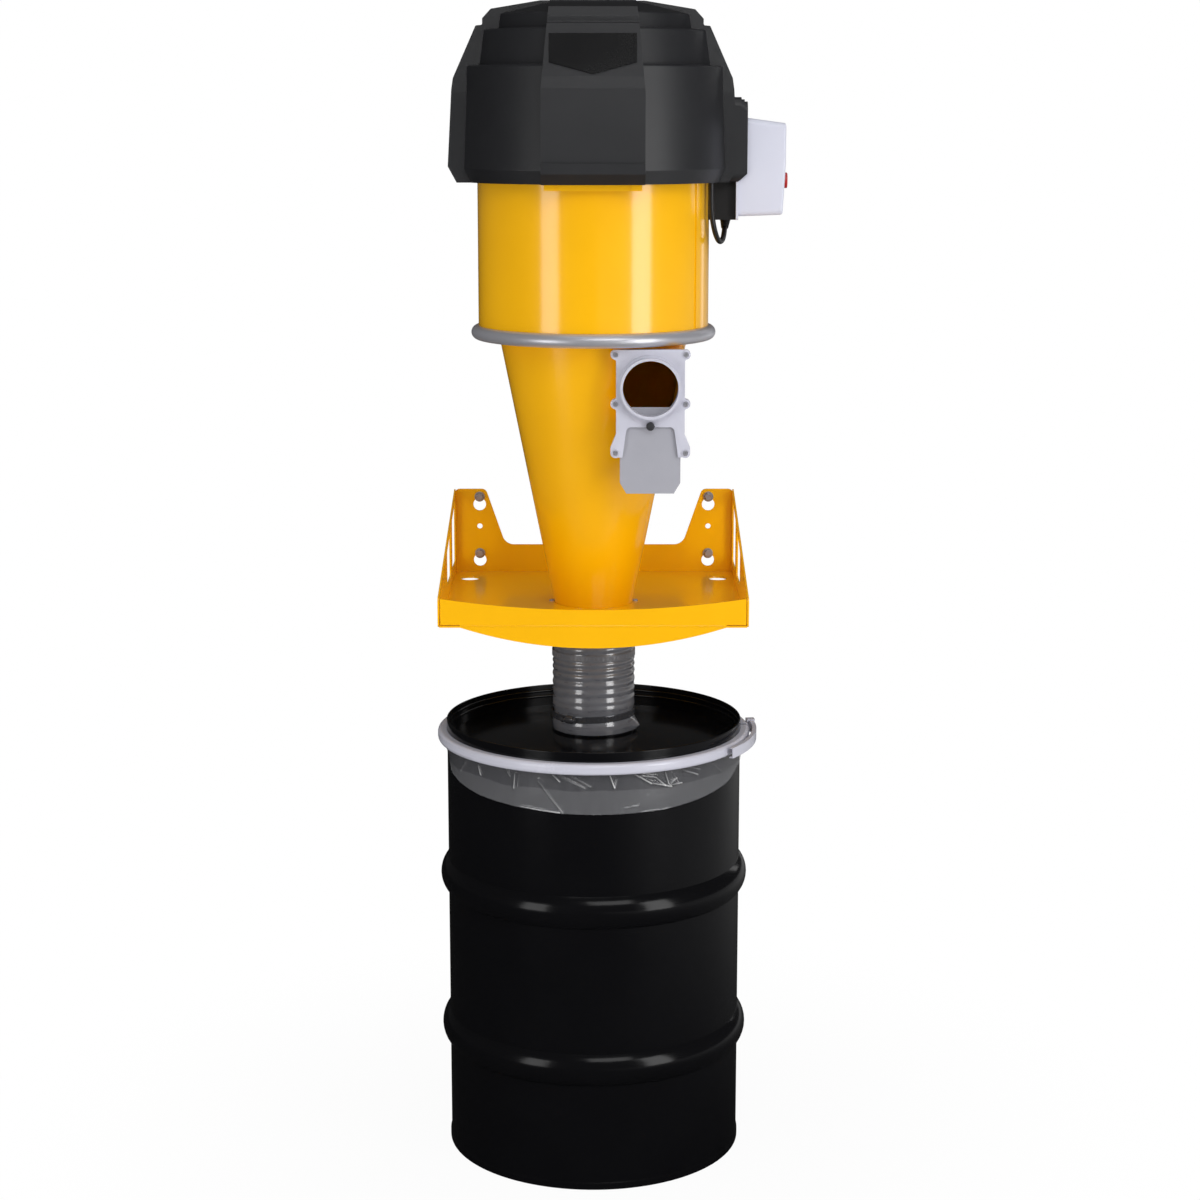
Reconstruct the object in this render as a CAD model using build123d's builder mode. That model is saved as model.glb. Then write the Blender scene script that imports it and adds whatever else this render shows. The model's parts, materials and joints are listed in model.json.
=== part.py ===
from build123d import *

import os
from math import asin, cos, degrees, pi, radians, sin, sqrt, tan

# A wall-hung cyclone dust separator with its dust drum.
# Millimetres, +Z up. The wall is the plane y = 0, the machine stands off it towards -Y.
# The origin lies on the bracket's back face, midway between the two lower wall bolts.

# Where the machine stands, and the hose between the cone's foot and the drum's lid
wall_to_axis = 320.0
hose_length = 244.2

# Wall bracket, folded from steel plate
plate_thickness = 3.0
shelf_drop = 37.5
shelf_width = 575.0
shelf_depth = 563.0
wing_height = 172.0
web_height = 56.0
wing_width = 65.0
wing_slope_run = 40.0
wing_root_radius = 24.0
wing_corner_radius = 12.0
lip_end_height = 51.0
lip_mid_height = 30.0
lip_end_gap = 2.0
skirt_inset = 41.5
skirt_depth = 39.0
bracket_foot_radius = 8.0
lip_slit = 2.0
window_length = 118.0
window_strut = 48.0
window_from_wall = 22.0
window_margin = 14.0
window_rise = 25.0
window_radius = 8.0
bolt_inset = 52.2
keyhole_rise = 116.0
keyhole_drop = 13.5
keyhole_radius = 13.0
keyhole_slot_radius = 6.5
peg_hole_radius = 5.5
peg_hole_drop = 59.0
shelf_hole_radius = 18.75
shelf_hole_inset = 35.5
shelf_hole_from_wall = 84.0

# Cone and barrel, rolled from sheet
sheet_thickness = 2.0
cone_foot_radius = 76.0
cone_top_radius = 180.0
cone_height = 520.0
spigot_length = 112.0
foot_flange_reach = 28.0
fit_gap = 0.3
flange_thickness = 3.0
barrel_radius = 218.0
barrel_height = 281.0
seam_width = 16.0
seam_thickness = 2.0
seam_angle = 28.0

# Band that clamps the barrel to the cone
band_reach = 14.0
band_height = 26.0
band_thickness = 1.5
band_bolt_angle = 42.0
band_bolt_radius = 4.0
band_bolt_length = 46.0
band_lug_width = 12.0
band_lug_height = 18.0
band_lug_reach = 16.0

# Moulded hood
hood_height = 328.0
hood_overhang = 50.0
hood_panel_proud = 13.0
hood_wall = 5.0
hood_panel_width = 186.0
hood_panel_top_width = 156.0
hood_lip_height = 38.0
hood_lip_proud = 6.0
hood_edge_radius = 4.0
hood_panel_radius = 3.0
pan_thickness = 3.0
badge_width = 156.0
badge_height = 55.0
badge_point = 23.0
badge_thickness = 2.0
badge_gap = 0.1
badge_drop = 64.0
latch_width = 176.0
latch_height = 11.0
latch_end_width = 20.0
side_panel_width = 146.0
side_panel_step = 6.0
side_panel_fall = 7.0
frame_width = 132.0
frame_height = 155.0
frame_step = 4.0
frame_steps = 3
frame_rise = 6.0
frame_corner_radius = 16.0
frame_foot_cut = 15.0
pocket_width = 108.0
pocket_height = 135.0
pocket_depth = 4.0

# Switch box on the right
box_gap = 2.0
box_plate_thickness = 4.4
box_plate_width = 104.0
box_plate_height = 196.0
box_plate_drop = 70.0
box_depth = 88.0
box_width = 98.0
box_height = 183.0
box_corner_radius = 10.0
box_edge_radius = 5.0
box_top_fall = 12.0
box_foot_rise = 3.0
box_face_lean = 5.0
box_face_height = 75.0
box_cover_depth = 50.0
button_radius = 14.5
button_proud = 6.0
button_stem_depth = 6.0
button_travel = 3.0
button_drop = 26.0
bracket_arm_width = 76.0
bracket_arm_height = 70.0
gland_radius = 10.0
gland_length = 24.0
cable_diameter = 10.0

# Slide gate on the inlet duct
inlet_offset = 105.0
gate_from_axis = 200.0
gate_rim = 12.0
gate_height = 198.0
gate_head = 19.0
gate_gap = 14.0
gate_front_thickness = 6.0
gate_back_thickness = 9.0
gate_bore_radius = 51.0
collar_wall = 5.0
collar_length = 18.0
collar_base_reach = 4.0
collar_base_length = 4.0
ear_radius = 9.0
ear_proud = 1.3
ear_foot = 8.0
ear_blend_radius = 4.0
fork_flare_drop = 13.0
fork_depth = 56.0
fork_leg_width = 19.5
fork_foot_leg_width = 20.8
fork_radius = 9.0
blade_inset = 7.2
blade_length = 160.0
blade_thickness = 3.0
blade_gap = 0.5
blade_hang = 68.0
blade_chamfer = 12.0
blade_chamfer_rise = 20.0
blade_close_travel = 95.0
knob_radius = 8.0
knob_length = 10.0
knob_gap = 0.3
screw_head_radius = 4.5
screw_head_height = 3.0
duct_height = 135.0

# Drum, lid and closing ring
drum_radius = 287.0
drum_wall = 1.2
drum_height = 841.0
hoop_swell = 15.0
hoop_height = 64.0
chime_height = 12.0
chime_swell = 2.0
drum_floor_height = 19.0
curl_radius = 5.0
lid_thickness = 1.2
lid_recess = 22.0
lid_crown = 19.0
lid_ridge_height = 21.0
lid_bead_depth = 1.5
ring_play = 4.0
ring_height = 21.0
ring_thickness = 2.0
ring_gap = 14.0
ring_top_reach = 17.0
ring_foot_reach = 8.0
ring_corner_radius = 7.0

# Lever that tightens the ring
lever_length = 231.0
lever_height = 20.0
lever_thickness = 8.0
lever_wall = 1.6
lever_gap = 6.0
lever_angle = 8.0
lever_pin_radius = 3.0
lug_width = 16.0
lug_thickness = 3.0
lug_back_thickness = 2.0
pin_clearance = 0.05

# Hose and its clamps
hose_wall = 1.6
hose_rib = 2.4
hose_pitch = 14.7
clamp_drop = 93.2
clamp_height = 12.7
clamp_thickness = 1.0
clamp_housing_length = 36.0
clamp_housing_height = 16.0
clamp_housing_depth = 9.0
collar_tube_height = 62.0
collar_tube_wall = 1.5
collar_foot_reach = 6.0

# Bag cuff under the ring
cuff_drop = 78.0
cuff_thickness = 1.0
cuff_gap = 0.3

# Faces and lines that pieces share
axis_y = -wall_to_axis
shelf_z = -shelf_drop
shelf_foot_z = shelf_z - plate_thickness
cone_top_z = shelf_z + cone_height
barrel_foot_z = cone_top_z + flange_thickness
barrel_top_z = barrel_foot_z + barrel_height
hood_foot_z = barrel_top_z
hood_pan_z = barrel_top_z + flange_thickness
inlet_z = cone_top_z - gate_gap - gate_head - gate_bore_radius
hose_top_z = shelf_foot_z - flange_thickness - fit_gap
hose_foot_z = hose_top_z - hose_length
lid_hub_z = hose_foot_z - fit_gap - flange_thickness
lid_floor_z = lid_hub_z - lid_crown
lid_top_z = lid_floor_z + lid_recess
drum_rim_z = lid_top_z - lid_thickness
floor_z = drum_rim_z - drum_height
lid_edge_radius = drum_radius + 2 * curl_radius
ring_radius = lid_edge_radius + ring_play + 2 * ring_thickness
front_y = -shelf_depth
bolt_spacing = shelf_width - 2 * bolt_inset
shelf_hole_spacing = shelf_width - 2 * shelf_hole_inset
skirt_width = shelf_width - 2 * skirt_inset
foot_flange_radius = cone_foot_radius + foot_flange_reach
band_radius = barrel_radius + band_reach
bead_radius = band_height / 2
bead_centre = band_radius - bead_radius
bead_inside = bead_radius - band_thickness
flange_radius = bead_centre + sqrt(bead_inside**2 - flange_thickness**2) - fit_gap
spigot_radius = cone_foot_radius
hub_radius = cone_foot_radius
collar_foot_radius = hub_radius + collar_foot_reach
hood_reach = barrel_radius + hood_overhang
hood_core_radius = hood_reach - hood_panel_proud
box_from_axis = hood_reach - pocket_depth + box_gap
gate_from_wall = wall_to_axis + gate_from_axis
gate_width = 2 * (gate_bore_radius + gate_rim)
duct_width = gate_width
cut_over = 20.0

centre_line = Axis((0, axis_y, 0), (0, 0, 1))
turning_plane = Plane(origin=(0, axis_y, 0), x_dir=(1, 0, 0), z_dir=(0, -1, 0))
side_plane = Plane(origin=(0, axis_y, 0), x_dir=(0, 1, 0), z_dir=(1, 0, 0))


def plan_at(height):
    """The horizontal plane at a height, centred on the machine's axis."""
    return Plane(origin=(0, axis_y, height))


# WALL BRACKET
# The back plate has two wings with keyhole slots, joined by a low web.
half_width = shelf_width / 2
wing_top_z = shelf_z + wing_height
web_top_z = shelf_z + web_height
wing_in = half_width - wing_width
wing_root = wing_in - wing_slope_run
upper_bolt_z = keyhole_rise

with BuildPart() as bracket_back_plate:
    with BuildSketch(Plane.XZ) as back_outline:
        Polygon(
            (-half_width, shelf_foot_z),
            (half_width, shelf_foot_z),
            (half_width, wing_top_z),
            (wing_in, wing_top_z),
            (wing_root, web_top_z),
            (-wing_root, web_top_z),
            (-wing_in, wing_top_z),
            (-half_width, wing_top_z),
            align=None,
        )
        fillet(back_outline.vertices().group_by(Axis.Y)[-1], radius=wing_corner_radius)
        roots = back_outline.vertices().filter_by(lambda v: abs(v.Y - web_top_z) < fit_gap)
        fillet(roots, radius=wing_root_radius)
        for side in (-1, 1):
            for bolt_z in (0, upper_bolt_z):
                with Locations((side * bolt_spacing / 2, bolt_z - keyhole_drop)):
                    Circle(keyhole_radius, mode=Mode.SUBTRACT)
                with Locations((side * bolt_spacing / 2, bolt_z - keyhole_drop / 2)):
                    slot_length = keyhole_drop + 2 * keyhole_slot_radius
                    SlotOverall(slot_length, 2 * keyhole_slot_radius, rotation=90, mode=Mode.SUBTRACT)
            with Locations((side * bolt_spacing / 2, upper_bolt_z - peg_hole_drop)):
                Circle(peg_hole_radius, mode=Mode.SUBTRACT)
    extrude(amount=plate_thickness)

# The shelf runs forward from the back plate and carries the cone in a round hole.
with BuildPart() as bracket_shelf:
    with BuildSketch(Plane.XY.offset(shelf_z)):
        with Locations((0, -(plate_thickness + shelf_depth) / 2)):
            Rectangle(shelf_width - 2 * plate_thickness, shelf_depth - plate_thickness)
        with Locations((0, axis_y)):
            Circle(cone_foot_radius + fit_gap, mode=Mode.SUBTRACT)
        with Locations(
            (-shelf_hole_spacing / 2, -shelf_hole_from_wall),
            (shelf_hole_spacing / 2, -shelf_hole_from_wall),
        ):
            Circle(shelf_hole_radius, mode=Mode.SUBTRACT)
    extrude(amount=-plate_thickness)

# Each side wall slopes from the wing's top down to the lip, with two windows under its edge.
side_drop = wing_height - lip_end_height
side_slope = side_drop / shelf_depth
window_foot_z = shelf_z + window_rise
window_backs = [
    -window_from_wall,
    -window_from_wall - window_length - window_strut,
]


def side_edge_z(y):
    """Height of the side wall's sloping top edge at a distance from the wall."""
    return wing_top_z + side_slope * y


sides = {}
for side_name, side in (("bracket_left_side", -1), ("bracket_right_side", 1)):
    with BuildPart() as side_wall:
        with BuildSketch(Plane.YZ.offset(side * half_width)) as side_outline:
            Polygon(
                (-plate_thickness, shelf_foot_z),
                (-plate_thickness, side_edge_z(-plate_thickness)),
                (front_y, side_edge_z(front_y)),
                (front_y, shelf_foot_z),
                align=None,
            )
            front_corners = side_outline.vertices().group_by(Axis.X)[0]
            fillet(front_corners, radius=bracket_foot_radius)
        extrude(amount=-side * plate_thickness)
        for back_y in window_backs:
            window_front_y = back_y - window_length
            with BuildSketch(Plane.YZ.offset(side * half_width)) as side_window:
                Polygon(
                    (back_y, window_foot_z),
                    (back_y, side_edge_z(back_y) - window_margin),
                    (window_front_y, side_edge_z(window_front_y) - window_margin),
                    (window_front_y, window_foot_z),
                    align=None,
                )
                fillet(side_window.vertices(), radius=window_radius)
            extrude(amount=-side * plate_thickness, mode=Mode.SUBTRACT)
    sides[side_name] = side_wall

# The front lip stands on the shelf's front edge, lowest in the middle, with a gap at each end.
# Beyond the skirt a slit parts it from the shelf.
lip_half = half_width - plate_thickness - lip_end_gap
skirt_half = skirt_width / 2
with BuildPart() as bracket_front_lip:
    with BuildSketch(Plane.XZ.offset(shelf_depth - plate_thickness)):
        with BuildLine():
            Polyline(
                (-lip_half, shelf_z + lip_end_height),
                (-lip_half, shelf_z),
                (lip_half, shelf_z),
                (lip_half, shelf_z + lip_end_height),
            )
            ThreePointArc(
                (lip_half, shelf_z + lip_end_height),
                (0, shelf_z + lip_mid_height),
                (-lip_half, shelf_z + lip_end_height),
            )
        make_face()
        for side in (-1, 1):
            with Locations((side * (skirt_half + lip_half) / 2, shelf_z + lip_slit / 2)):
                Rectangle(lip_half - skirt_half, lip_slit, mode=Mode.SUBTRACT)
    extrude(amount=plate_thickness)

# The front skirt hangs under the shelf's front edge with a bowed lower edge.
with BuildPart() as bracket_front_skirt:
    with BuildSketch(Plane.XZ.offset(shelf_depth - plate_thickness)):
        with BuildLine():
            Line((skirt_half, shelf_foot_z), (-skirt_half, shelf_foot_z))
            ThreePointArc(
                (-skirt_half, shelf_foot_z),
                (0, shelf_foot_z - skirt_depth),
                (skirt_half, shelf_foot_z),
            )
        make_face()
    extrude(amount=plate_thickness)

# CONE
# The cone's shell stands in the shelf's hole and opens into the inlet duct.
cone_lean = (cone_top_radius - cone_foot_radius) / cone_height
duct_left = inlet_offset - duct_width / 2
duct_right = inlet_offset + duct_width / 2
duct_foot_z = inlet_z - duct_height / 2
duct_top_z = inlet_z + duct_height / 2
duct_front_y = -gate_from_wall + gate_front_thickness + gate_back_thickness


def cone_radius_at(height):
    """Outer radius of the cone at a height."""
    return cone_foot_radius + cone_lean * (height - shelf_z)


def duct_box(inset):
    """The duct's outer box, or its inside when inset by the sheet's thickness."""
    with BuildPart() as box:
        with BuildSketch(Plane.XZ.offset(-duct_front_y)):
            with Locations(((duct_left + duct_right) / 2, (duct_foot_z + duct_top_z) / 2)):
                Rectangle(duct_width - 2 * inset, duct_height - 2 * inset)
        extrude(amount=duct_front_y - axis_y + inset)
    return box.part


with BuildPart() as cone_core:
    with BuildSketch(turning_plane):
        Polygon(
            (0, shelf_foot_z),
            (cone_foot_radius, shelf_foot_z),
            (cone_foot_radius, shelf_z),
            (cone_top_radius, cone_top_z),
            (0, cone_top_z),
            align=None,
        )
    revolve(axis=centre_line)

with BuildPart() as cone:
    with BuildSketch(turning_plane):
        Polygon(
            (cone_foot_radius - sheet_thickness, shelf_foot_z),
            (cone_foot_radius, shelf_foot_z),
            (cone_foot_radius, shelf_z),
            (cone_top_radius, cone_top_z),
            (cone_top_radius - sheet_thickness, cone_top_z),
            (cone_foot_radius - sheet_thickness, shelf_z),
            align=None,
        )
    revolve(axis=centre_line)
    add(duct_box(sheet_thickness), mode=Mode.SUBTRACT)

# A flange under the shelf holds the cone's foot and carries the outlet spigot.
with BuildPart() as cone_spigot:
    with BuildSketch(turning_plane):
        Polygon(
            (spigot_radius - sheet_thickness, shelf_foot_z),
            (foot_flange_radius, shelf_foot_z),
            (foot_flange_radius, shelf_foot_z - flange_thickness),
            (spigot_radius, shelf_foot_z - flange_thickness),
            (spigot_radius, shelf_foot_z - spigot_length),
            (spigot_radius - sheet_thickness, shelf_foot_z - spigot_length),
            align=None,
        )
    revolve(axis=centre_line)

with BuildPart() as cone_flange:
    with BuildSketch(plan_at(cone_top_z)):
        Circle(flange_radius)
        Circle(cone_top_radius - sheet_thickness, mode=Mode.SUBTRACT)
    extrude(amount=flange_thickness)

# INLET DUCT
# The duct is a square tube that meets the cone's side and is closed behind.
with BuildPart() as inlet_duct:
    add(duct_box(0))
    add(duct_box(sheet_thickness), mode=Mode.SUBTRACT)
    add(cone_core.part, mode=Mode.SUBTRACT)

# BARREL
with BuildPart() as barrel:
    with BuildSketch(turning_plane):
        Polygon(
            (barrel_radius - sheet_thickness, barrel_foot_z),
            (flange_radius, barrel_foot_z),
            (flange_radius, barrel_foot_z + flange_thickness),
            (barrel_radius, barrel_foot_z + flange_thickness),
            (barrel_radius, barrel_top_z),
            (barrel_radius - sheet_thickness, barrel_top_z),
            align=None,
        )
    revolve(axis=centre_line)

with BuildPart() as barrel_top_plate:
    with BuildSketch(plan_at(barrel_top_z)):
        Circle(barrel_radius)
    extrude(amount=flange_thickness)

# The barrel's lap seam is a strip bent to the barrel's radius.
seam_foot_z = barrel_foot_z + band_height / 2 + band_thickness
with BuildPart() as barrel_seam:
    with BuildSketch(plan_at(seam_foot_z)) as seam_plan:
        Circle(barrel_radius + seam_thickness)
        Circle(barrel_radius, mode=Mode.SUBTRACT)
        with Locations(Location((0, 0, 0), (0, 0, -seam_angle))):
            with Locations((barrel_radius, 0)):
                Rectangle(seam_width, seam_width, mode=Mode.INTERSECT)
    extrude(amount=barrel_top_z - seam_foot_z)

# CLAMP BAND
# The band is a bead rolled round both flanges, drawn together by a bolt at the back.
band_mid_z = barrel_foot_z
with BuildPart() as clamp_band:
    with BuildSketch(turning_plane):
        with Locations((bead_centre, band_mid_z)):
            Circle(bead_radius)
            Circle(bead_inside, mode=Mode.SUBTRACT)
        with Locations((0, band_mid_z)):
            Rectangle(2 * (barrel_radius + fit_gap), 2 * band_height, mode=Mode.SUBTRACT)
    revolve(axis=centre_line)

lug_place = Location((0, axis_y, band_mid_z), (0, 0, band_bolt_angle))
with BuildPart() as clamp_band_bolt:
    with Locations(lug_place):
        with Locations(
            (band_radius + band_lug_reach / 2, -band_lug_width),
            (band_radius + band_lug_reach / 2, band_lug_width),
        ):
            Box(band_lug_reach, band_thickness * 2, band_lug_height)
        with Locations(Location((band_radius + band_lug_reach / 2, 0, 0), (90, 0, 0))):
            Cylinder(band_bolt_radius, band_bolt_length)

# HOOD
# The hood's round core rises in three tiers. Four raised panels stand on it, one each way.
core_radius_share = (0.957, 1.0, 0.972, 0.886, 0.847, 0.753, 0.733, 0.376)
core_height_share = (0, 0.076, 0.643, 0.643, 0.841, 0.841, 0.927, 1.0)
panel_reach_share = (0.94, 1.0, 0.97, 0.959, 0.802, 0.757, 0.757, 0.698, 0.358)
panel_height_share = (0, 0.09, 0.515, 0.576, 0.863, 0.866, 0.902, 0.954, 1.0)
panel_taper_share = 0.5
hood_top_z = hood_foot_z + hood_height


def tiers(radius, height, radius_shares, height_shares):
    """Outline points of a stepped side, closed back to the axis."""
    steps = [
        (radius * out, hood_foot_z + height * up)
        for out, up in zip(radius_shares, height_shares)
    ]
    return [(0, hood_foot_z), *steps, (0, hood_foot_z + height)]


def raised_panel(width, reach):
    """The front panel at a width and reach, tapering above its middle."""
    top_width = width * hood_panel_top_width / hood_panel_width
    with BuildPart() as panel:
        with BuildSketch(side_plane) as panel_profile:
            Polygon(*tiers(-reach, hood_height, panel_reach_share, panel_height_share), align=None)
            outer_corners = panel_profile.vertices().filter_by(lambda v: v.X < -hood_panel_radius)
            fillet(outer_corners.filter_by(lambda v: v.Y > hood_foot_z + fit_gap), radius=hood_panel_radius)
        extrude(amount=width / 2, both=True)
        with BuildSketch(turning_plane):
            Polygon(
                (-width / 2, hood_foot_z),
                (width / 2, hood_foot_z),
                (width / 2, hood_foot_z + hood_height * panel_taper_share),
                (top_width / 2, hood_top_z),
                (-top_width / 2, hood_top_z),
                (-width / 2, hood_foot_z + hood_height * panel_taper_share),
                align=None,
            )
        extrude(amount=reach, mode=Mode.INTERSECT)
    return panel.part


# The front panel carries a proud lip along its foot.
with BuildPart() as hood_lip:
    with BuildSketch(side_plane):
        Polygon(
            (-hood_reach * panel_reach_share[0] + hood_lip_proud, hood_foot_z),
            (-hood_reach * panel_reach_share[0] - hood_lip_proud, hood_foot_z),
            (-hood_reach - hood_lip_proud, hood_foot_z + hood_lip_height / 2),
            (-hood_reach - hood_lip_proud, hood_foot_z + hood_lip_height),
            (-hood_reach + hood_lip_proud, hood_foot_z + hood_lip_height),
            align=None,
        )
    extrude(amount=hood_panel_width / 2, both=True)

# The right panel rises in two steps, and a stepped frame on it surrounds the switch box.
with BuildPart() as hood_frame:
    for step in range(frame_steps):
        step_width = frame_width - 2 * frame_step * step
        step_height = frame_height - frame_step * step
        with BuildSketch(side_plane.offset(hood_reach * panel_reach_share[4])) as frame_outline:
            with Locations((0, hood_foot_z + step_height / 2)):
                Rectangle(step_width, step_height)
            fillet(frame_outline.vertices(), radius=frame_corner_radius)
        frame_out = hood_reach + frame_rise * (step + 1)
        extrude(amount=frame_out - hood_reach * panel_reach_share[4])
    with BuildSketch(turning_plane):
        Polygon(
            (hood_reach, hood_foot_z),
            (frame_out, hood_foot_z),
            (frame_out, hood_foot_z + frame_foot_cut),
            align=None,
        )
    extrude(amount=frame_width / 2, both=True, mode=Mode.SUBTRACT)

inner_radius = hood_core_radius - hood_wall
inner_radius_share = (0.957, 0.957, 0.886, 0.886, 0.753, 0.753, 0.733, 0.376)
with BuildPart() as motor_hood:
    with BuildSketch(turning_plane) as core_profile:
        Polygon(
            *tiers(hood_core_radius, hood_height, core_radius_share, core_height_share),
            align=None,
        )
        outer_corners = core_profile.vertices().filter_by(lambda v: v.X > hood_edge_radius)
        fillet(outer_corners.filter_by(lambda v: v.Y > hood_foot_z + fit_gap), radius=hood_edge_radius)
    revolve(axis=centre_line)
    for turn in (0, 180, 270):
        add(raised_panel(hood_panel_width, hood_reach).rotate(centre_line, turn))
    add(raised_panel(side_panel_width, hood_reach - side_panel_fall).rotate(centre_line, 90))
    add(raised_panel(side_panel_width - 2 * side_panel_step, hood_reach).rotate(centre_line, 90))
    add(hood_lip.part)
    add(hood_frame.part)
    with BuildSketch(side_plane.offset(hood_reach - pocket_depth)):
        with Locations((0, hood_foot_z + (pocket_height - cut_over) / 2)):
            Rectangle(pocket_width, pocket_height + cut_over)
    extrude(amount=hood_reach, mode=Mode.SUBTRACT)
    with BuildSketch(turning_plane):
        Polygon(
            *tiers(inner_radius, hood_height - hood_wall, inner_radius_share, core_height_share),
            align=None,
        )
    revolve(axis=centre_line, mode=Mode.SUBTRACT)

pan_radius = inner_radius * core_radius_share[0]
with BuildPart() as hood_base_pan:
    with BuildSketch(plan_at(hood_foot_z)):
        Circle(pan_radius)
        Circle(barrel_radius, mode=Mode.SUBTRACT)
    extrude(amount=flange_thickness)
    with BuildSketch(plan_at(hood_pan_z)):
        Circle(pan_radius)
    extrude(amount=pan_thickness)

# A shield-shaped plate lies on the front panel's sloping upper face.
slope_out = hood_reach * (panel_reach_share[3] - panel_reach_share[4])
slope_up = hood_height * (panel_height_share[4] - panel_height_share[3])
slope_angle = degrees(asin(slope_out / sqrt(slope_out**2 + slope_up**2)))
badge_top_z = hood_top_z - badge_drop
slope_foot_y = axis_y - hood_reach * panel_reach_share[3]
slope_foot_z = hood_foot_z + hood_height * panel_height_share[3]
badge_top_y = slope_foot_y + (badge_top_z - slope_foot_z) * tan(radians(slope_angle))
badge_plane = Plane(
    origin=(0, badge_top_y, badge_top_z),
    x_dir=(1, 0, 0),
    z_dir=(0, -cos(radians(slope_angle)), sin(radians(slope_angle))),
).offset(badge_gap)
with BuildPart() as hood_badge_plate:
    with BuildSketch(badge_plane):
        Polygon(
            (-badge_width / 2, 0),
            (badge_width / 2, 0),
            (badge_width / 2, -badge_height),
            (0, -badge_height - badge_point),
            (-badge_width / 2, -badge_height),
            align=None,
        )
    extrude(amount=badge_thickness)

# The latch bar hangs under the front lip, with a block at each end.
latch_y = axis_y - hood_reach * panel_reach_share[0] + hood_lip_proud + latch_height
with BuildPart() as hood_latch_bar:
    with Locations((0, latch_y, hood_foot_z - latch_height / 2)):
        Box(latch_width, latch_height / 2, latch_height)
    for side in (-1, 1):
        with Locations((side * (latch_width - latch_end_width) / 2, latch_y, hood_foot_z - latch_height / 2)):
            Box(latch_end_width, latch_height, latch_height)

# SWITCH BOX
box_plate_top_z = hood_foot_z + box_plate_height - box_plate_drop
box_mid_z = box_plate_top_z - box_plate_height / 2
box_plate_x = box_from_axis + box_plate_thickness
box_plate_plane = side_plane.offset(box_from_axis)
with BuildPart() as box_back_plate:
    with BuildSketch(box_plate_plane):
        with Locations((0, box_mid_z)):
            RectangleRounded(box_plate_width, box_plate_height, box_corner_radius / 2)
    extrude(amount=box_plate_thickness)

# The box is one moulding in two halves: its top falls outward, its foot rises, and its face
# stands upright above and leans in below.
box_base_depth = box_depth - box_cover_depth
box_split_x = box_plate_x + box_base_depth
box_face_x = box_plate_x + box_depth
box_foot_z = box_mid_z - box_height / 2
box_top_z = box_mid_z + box_height / 2
with BuildPart() as box_block:
    with BuildSketch(turning_plane):
        Polygon(
            (box_plate_x, box_foot_z),
            (box_face_x - box_face_lean, box_foot_z + box_foot_rise),
            (box_face_x, box_top_z - box_top_fall - box_face_height),
            (box_face_x, box_top_z - box_top_fall),
            (box_plate_x, box_top_z),
            align=None,
        )
    extrude(amount=box_width / 2, both=True)
    long_edges = box_block.edges().filter_by(lambda e: abs((e % 0).X) > abs((e % 0).Z) + abs((e % 0).Y))
    fillet(long_edges, radius=box_corner_radius)
    face_edges = box_block.faces().sort_by(Axis.X)[-1].edges()
    fillet(face_edges.filter_by(lambda e: e.center().Z > box_mid_z), radius=box_edge_radius)

with BuildPart() as electric_box:
    add(box_block.part)
    split(bisect_by=side_plane.offset(box_split_x), keep=Keep.BOTTOM)

button_z = box_mid_z - button_drop
button_seat_x = box_face_x - box_face_lean - button_stem_depth
with BuildPart() as box_cover:
    add(box_block.part)
    split(bisect_by=side_plane.offset(box_split_x), keep=Keep.TOP)
    with BuildSketch(side_plane.offset(button_seat_x - button_travel - fit_gap)):
        with Locations((0, button_z)):
            Circle(button_radius + fit_gap)
    extrude(amount=box_depth, mode=Mode.SUBTRACT)

with BuildPart() as red_button:
    with BuildSketch(side_plane.offset(button_seat_x)):
        with Locations((0, button_z)):
            Circle(button_radius)
    extrude(amount=box_face_x + button_proud - button_seat_x)
    fillet(red_button.faces().sort_by(Axis.X)[-1].edges(), radius=button_radius / 8)

# A folded arm reaches from the barrel to the box's back plate.
arm_foot_z = barrel_top_z - bracket_arm_height
with BuildPart() as box_bracket:
    with BuildSketch(plan_at(arm_foot_z)):
        with Locations((box_from_axis / 2, 0)):
            Rectangle(box_from_axis, bracket_arm_width)
        with Locations(((box_from_axis - 2 * plate_thickness) / 2, 0)):
            inner_arm = bracket_arm_width - 2 * plate_thickness
            Rectangle(box_from_axis, inner_arm, mode=Mode.SUBTRACT)
        Circle(barrel_radius, mode=Mode.SUBTRACT)
    extrude(amount=bracket_arm_height)
    with BuildSketch(plan_at(arm_foot_z)):
        with Locations((box_from_axis / 2, 0)):
            Rectangle(box_from_axis, bracket_arm_width)
        Circle(barrel_radius, mode=Mode.SUBTRACT)
    extrude(amount=plate_thickness)

# The cable leaves a tilted gland under the arm, loops down and goes up into the hood's pan.
cable_points = [
    (248.0, -314.0, 680.0),
    (246.0, -330.0, 663.0),
    (238.0, -359.0, 653.5),
    (228.5, -386.0, 667.0),
    (221.0, -399.0, 697.0),
    (218.5, -394.0, 732.0),
    (218.5, -394.0, 766.5),
]

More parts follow.
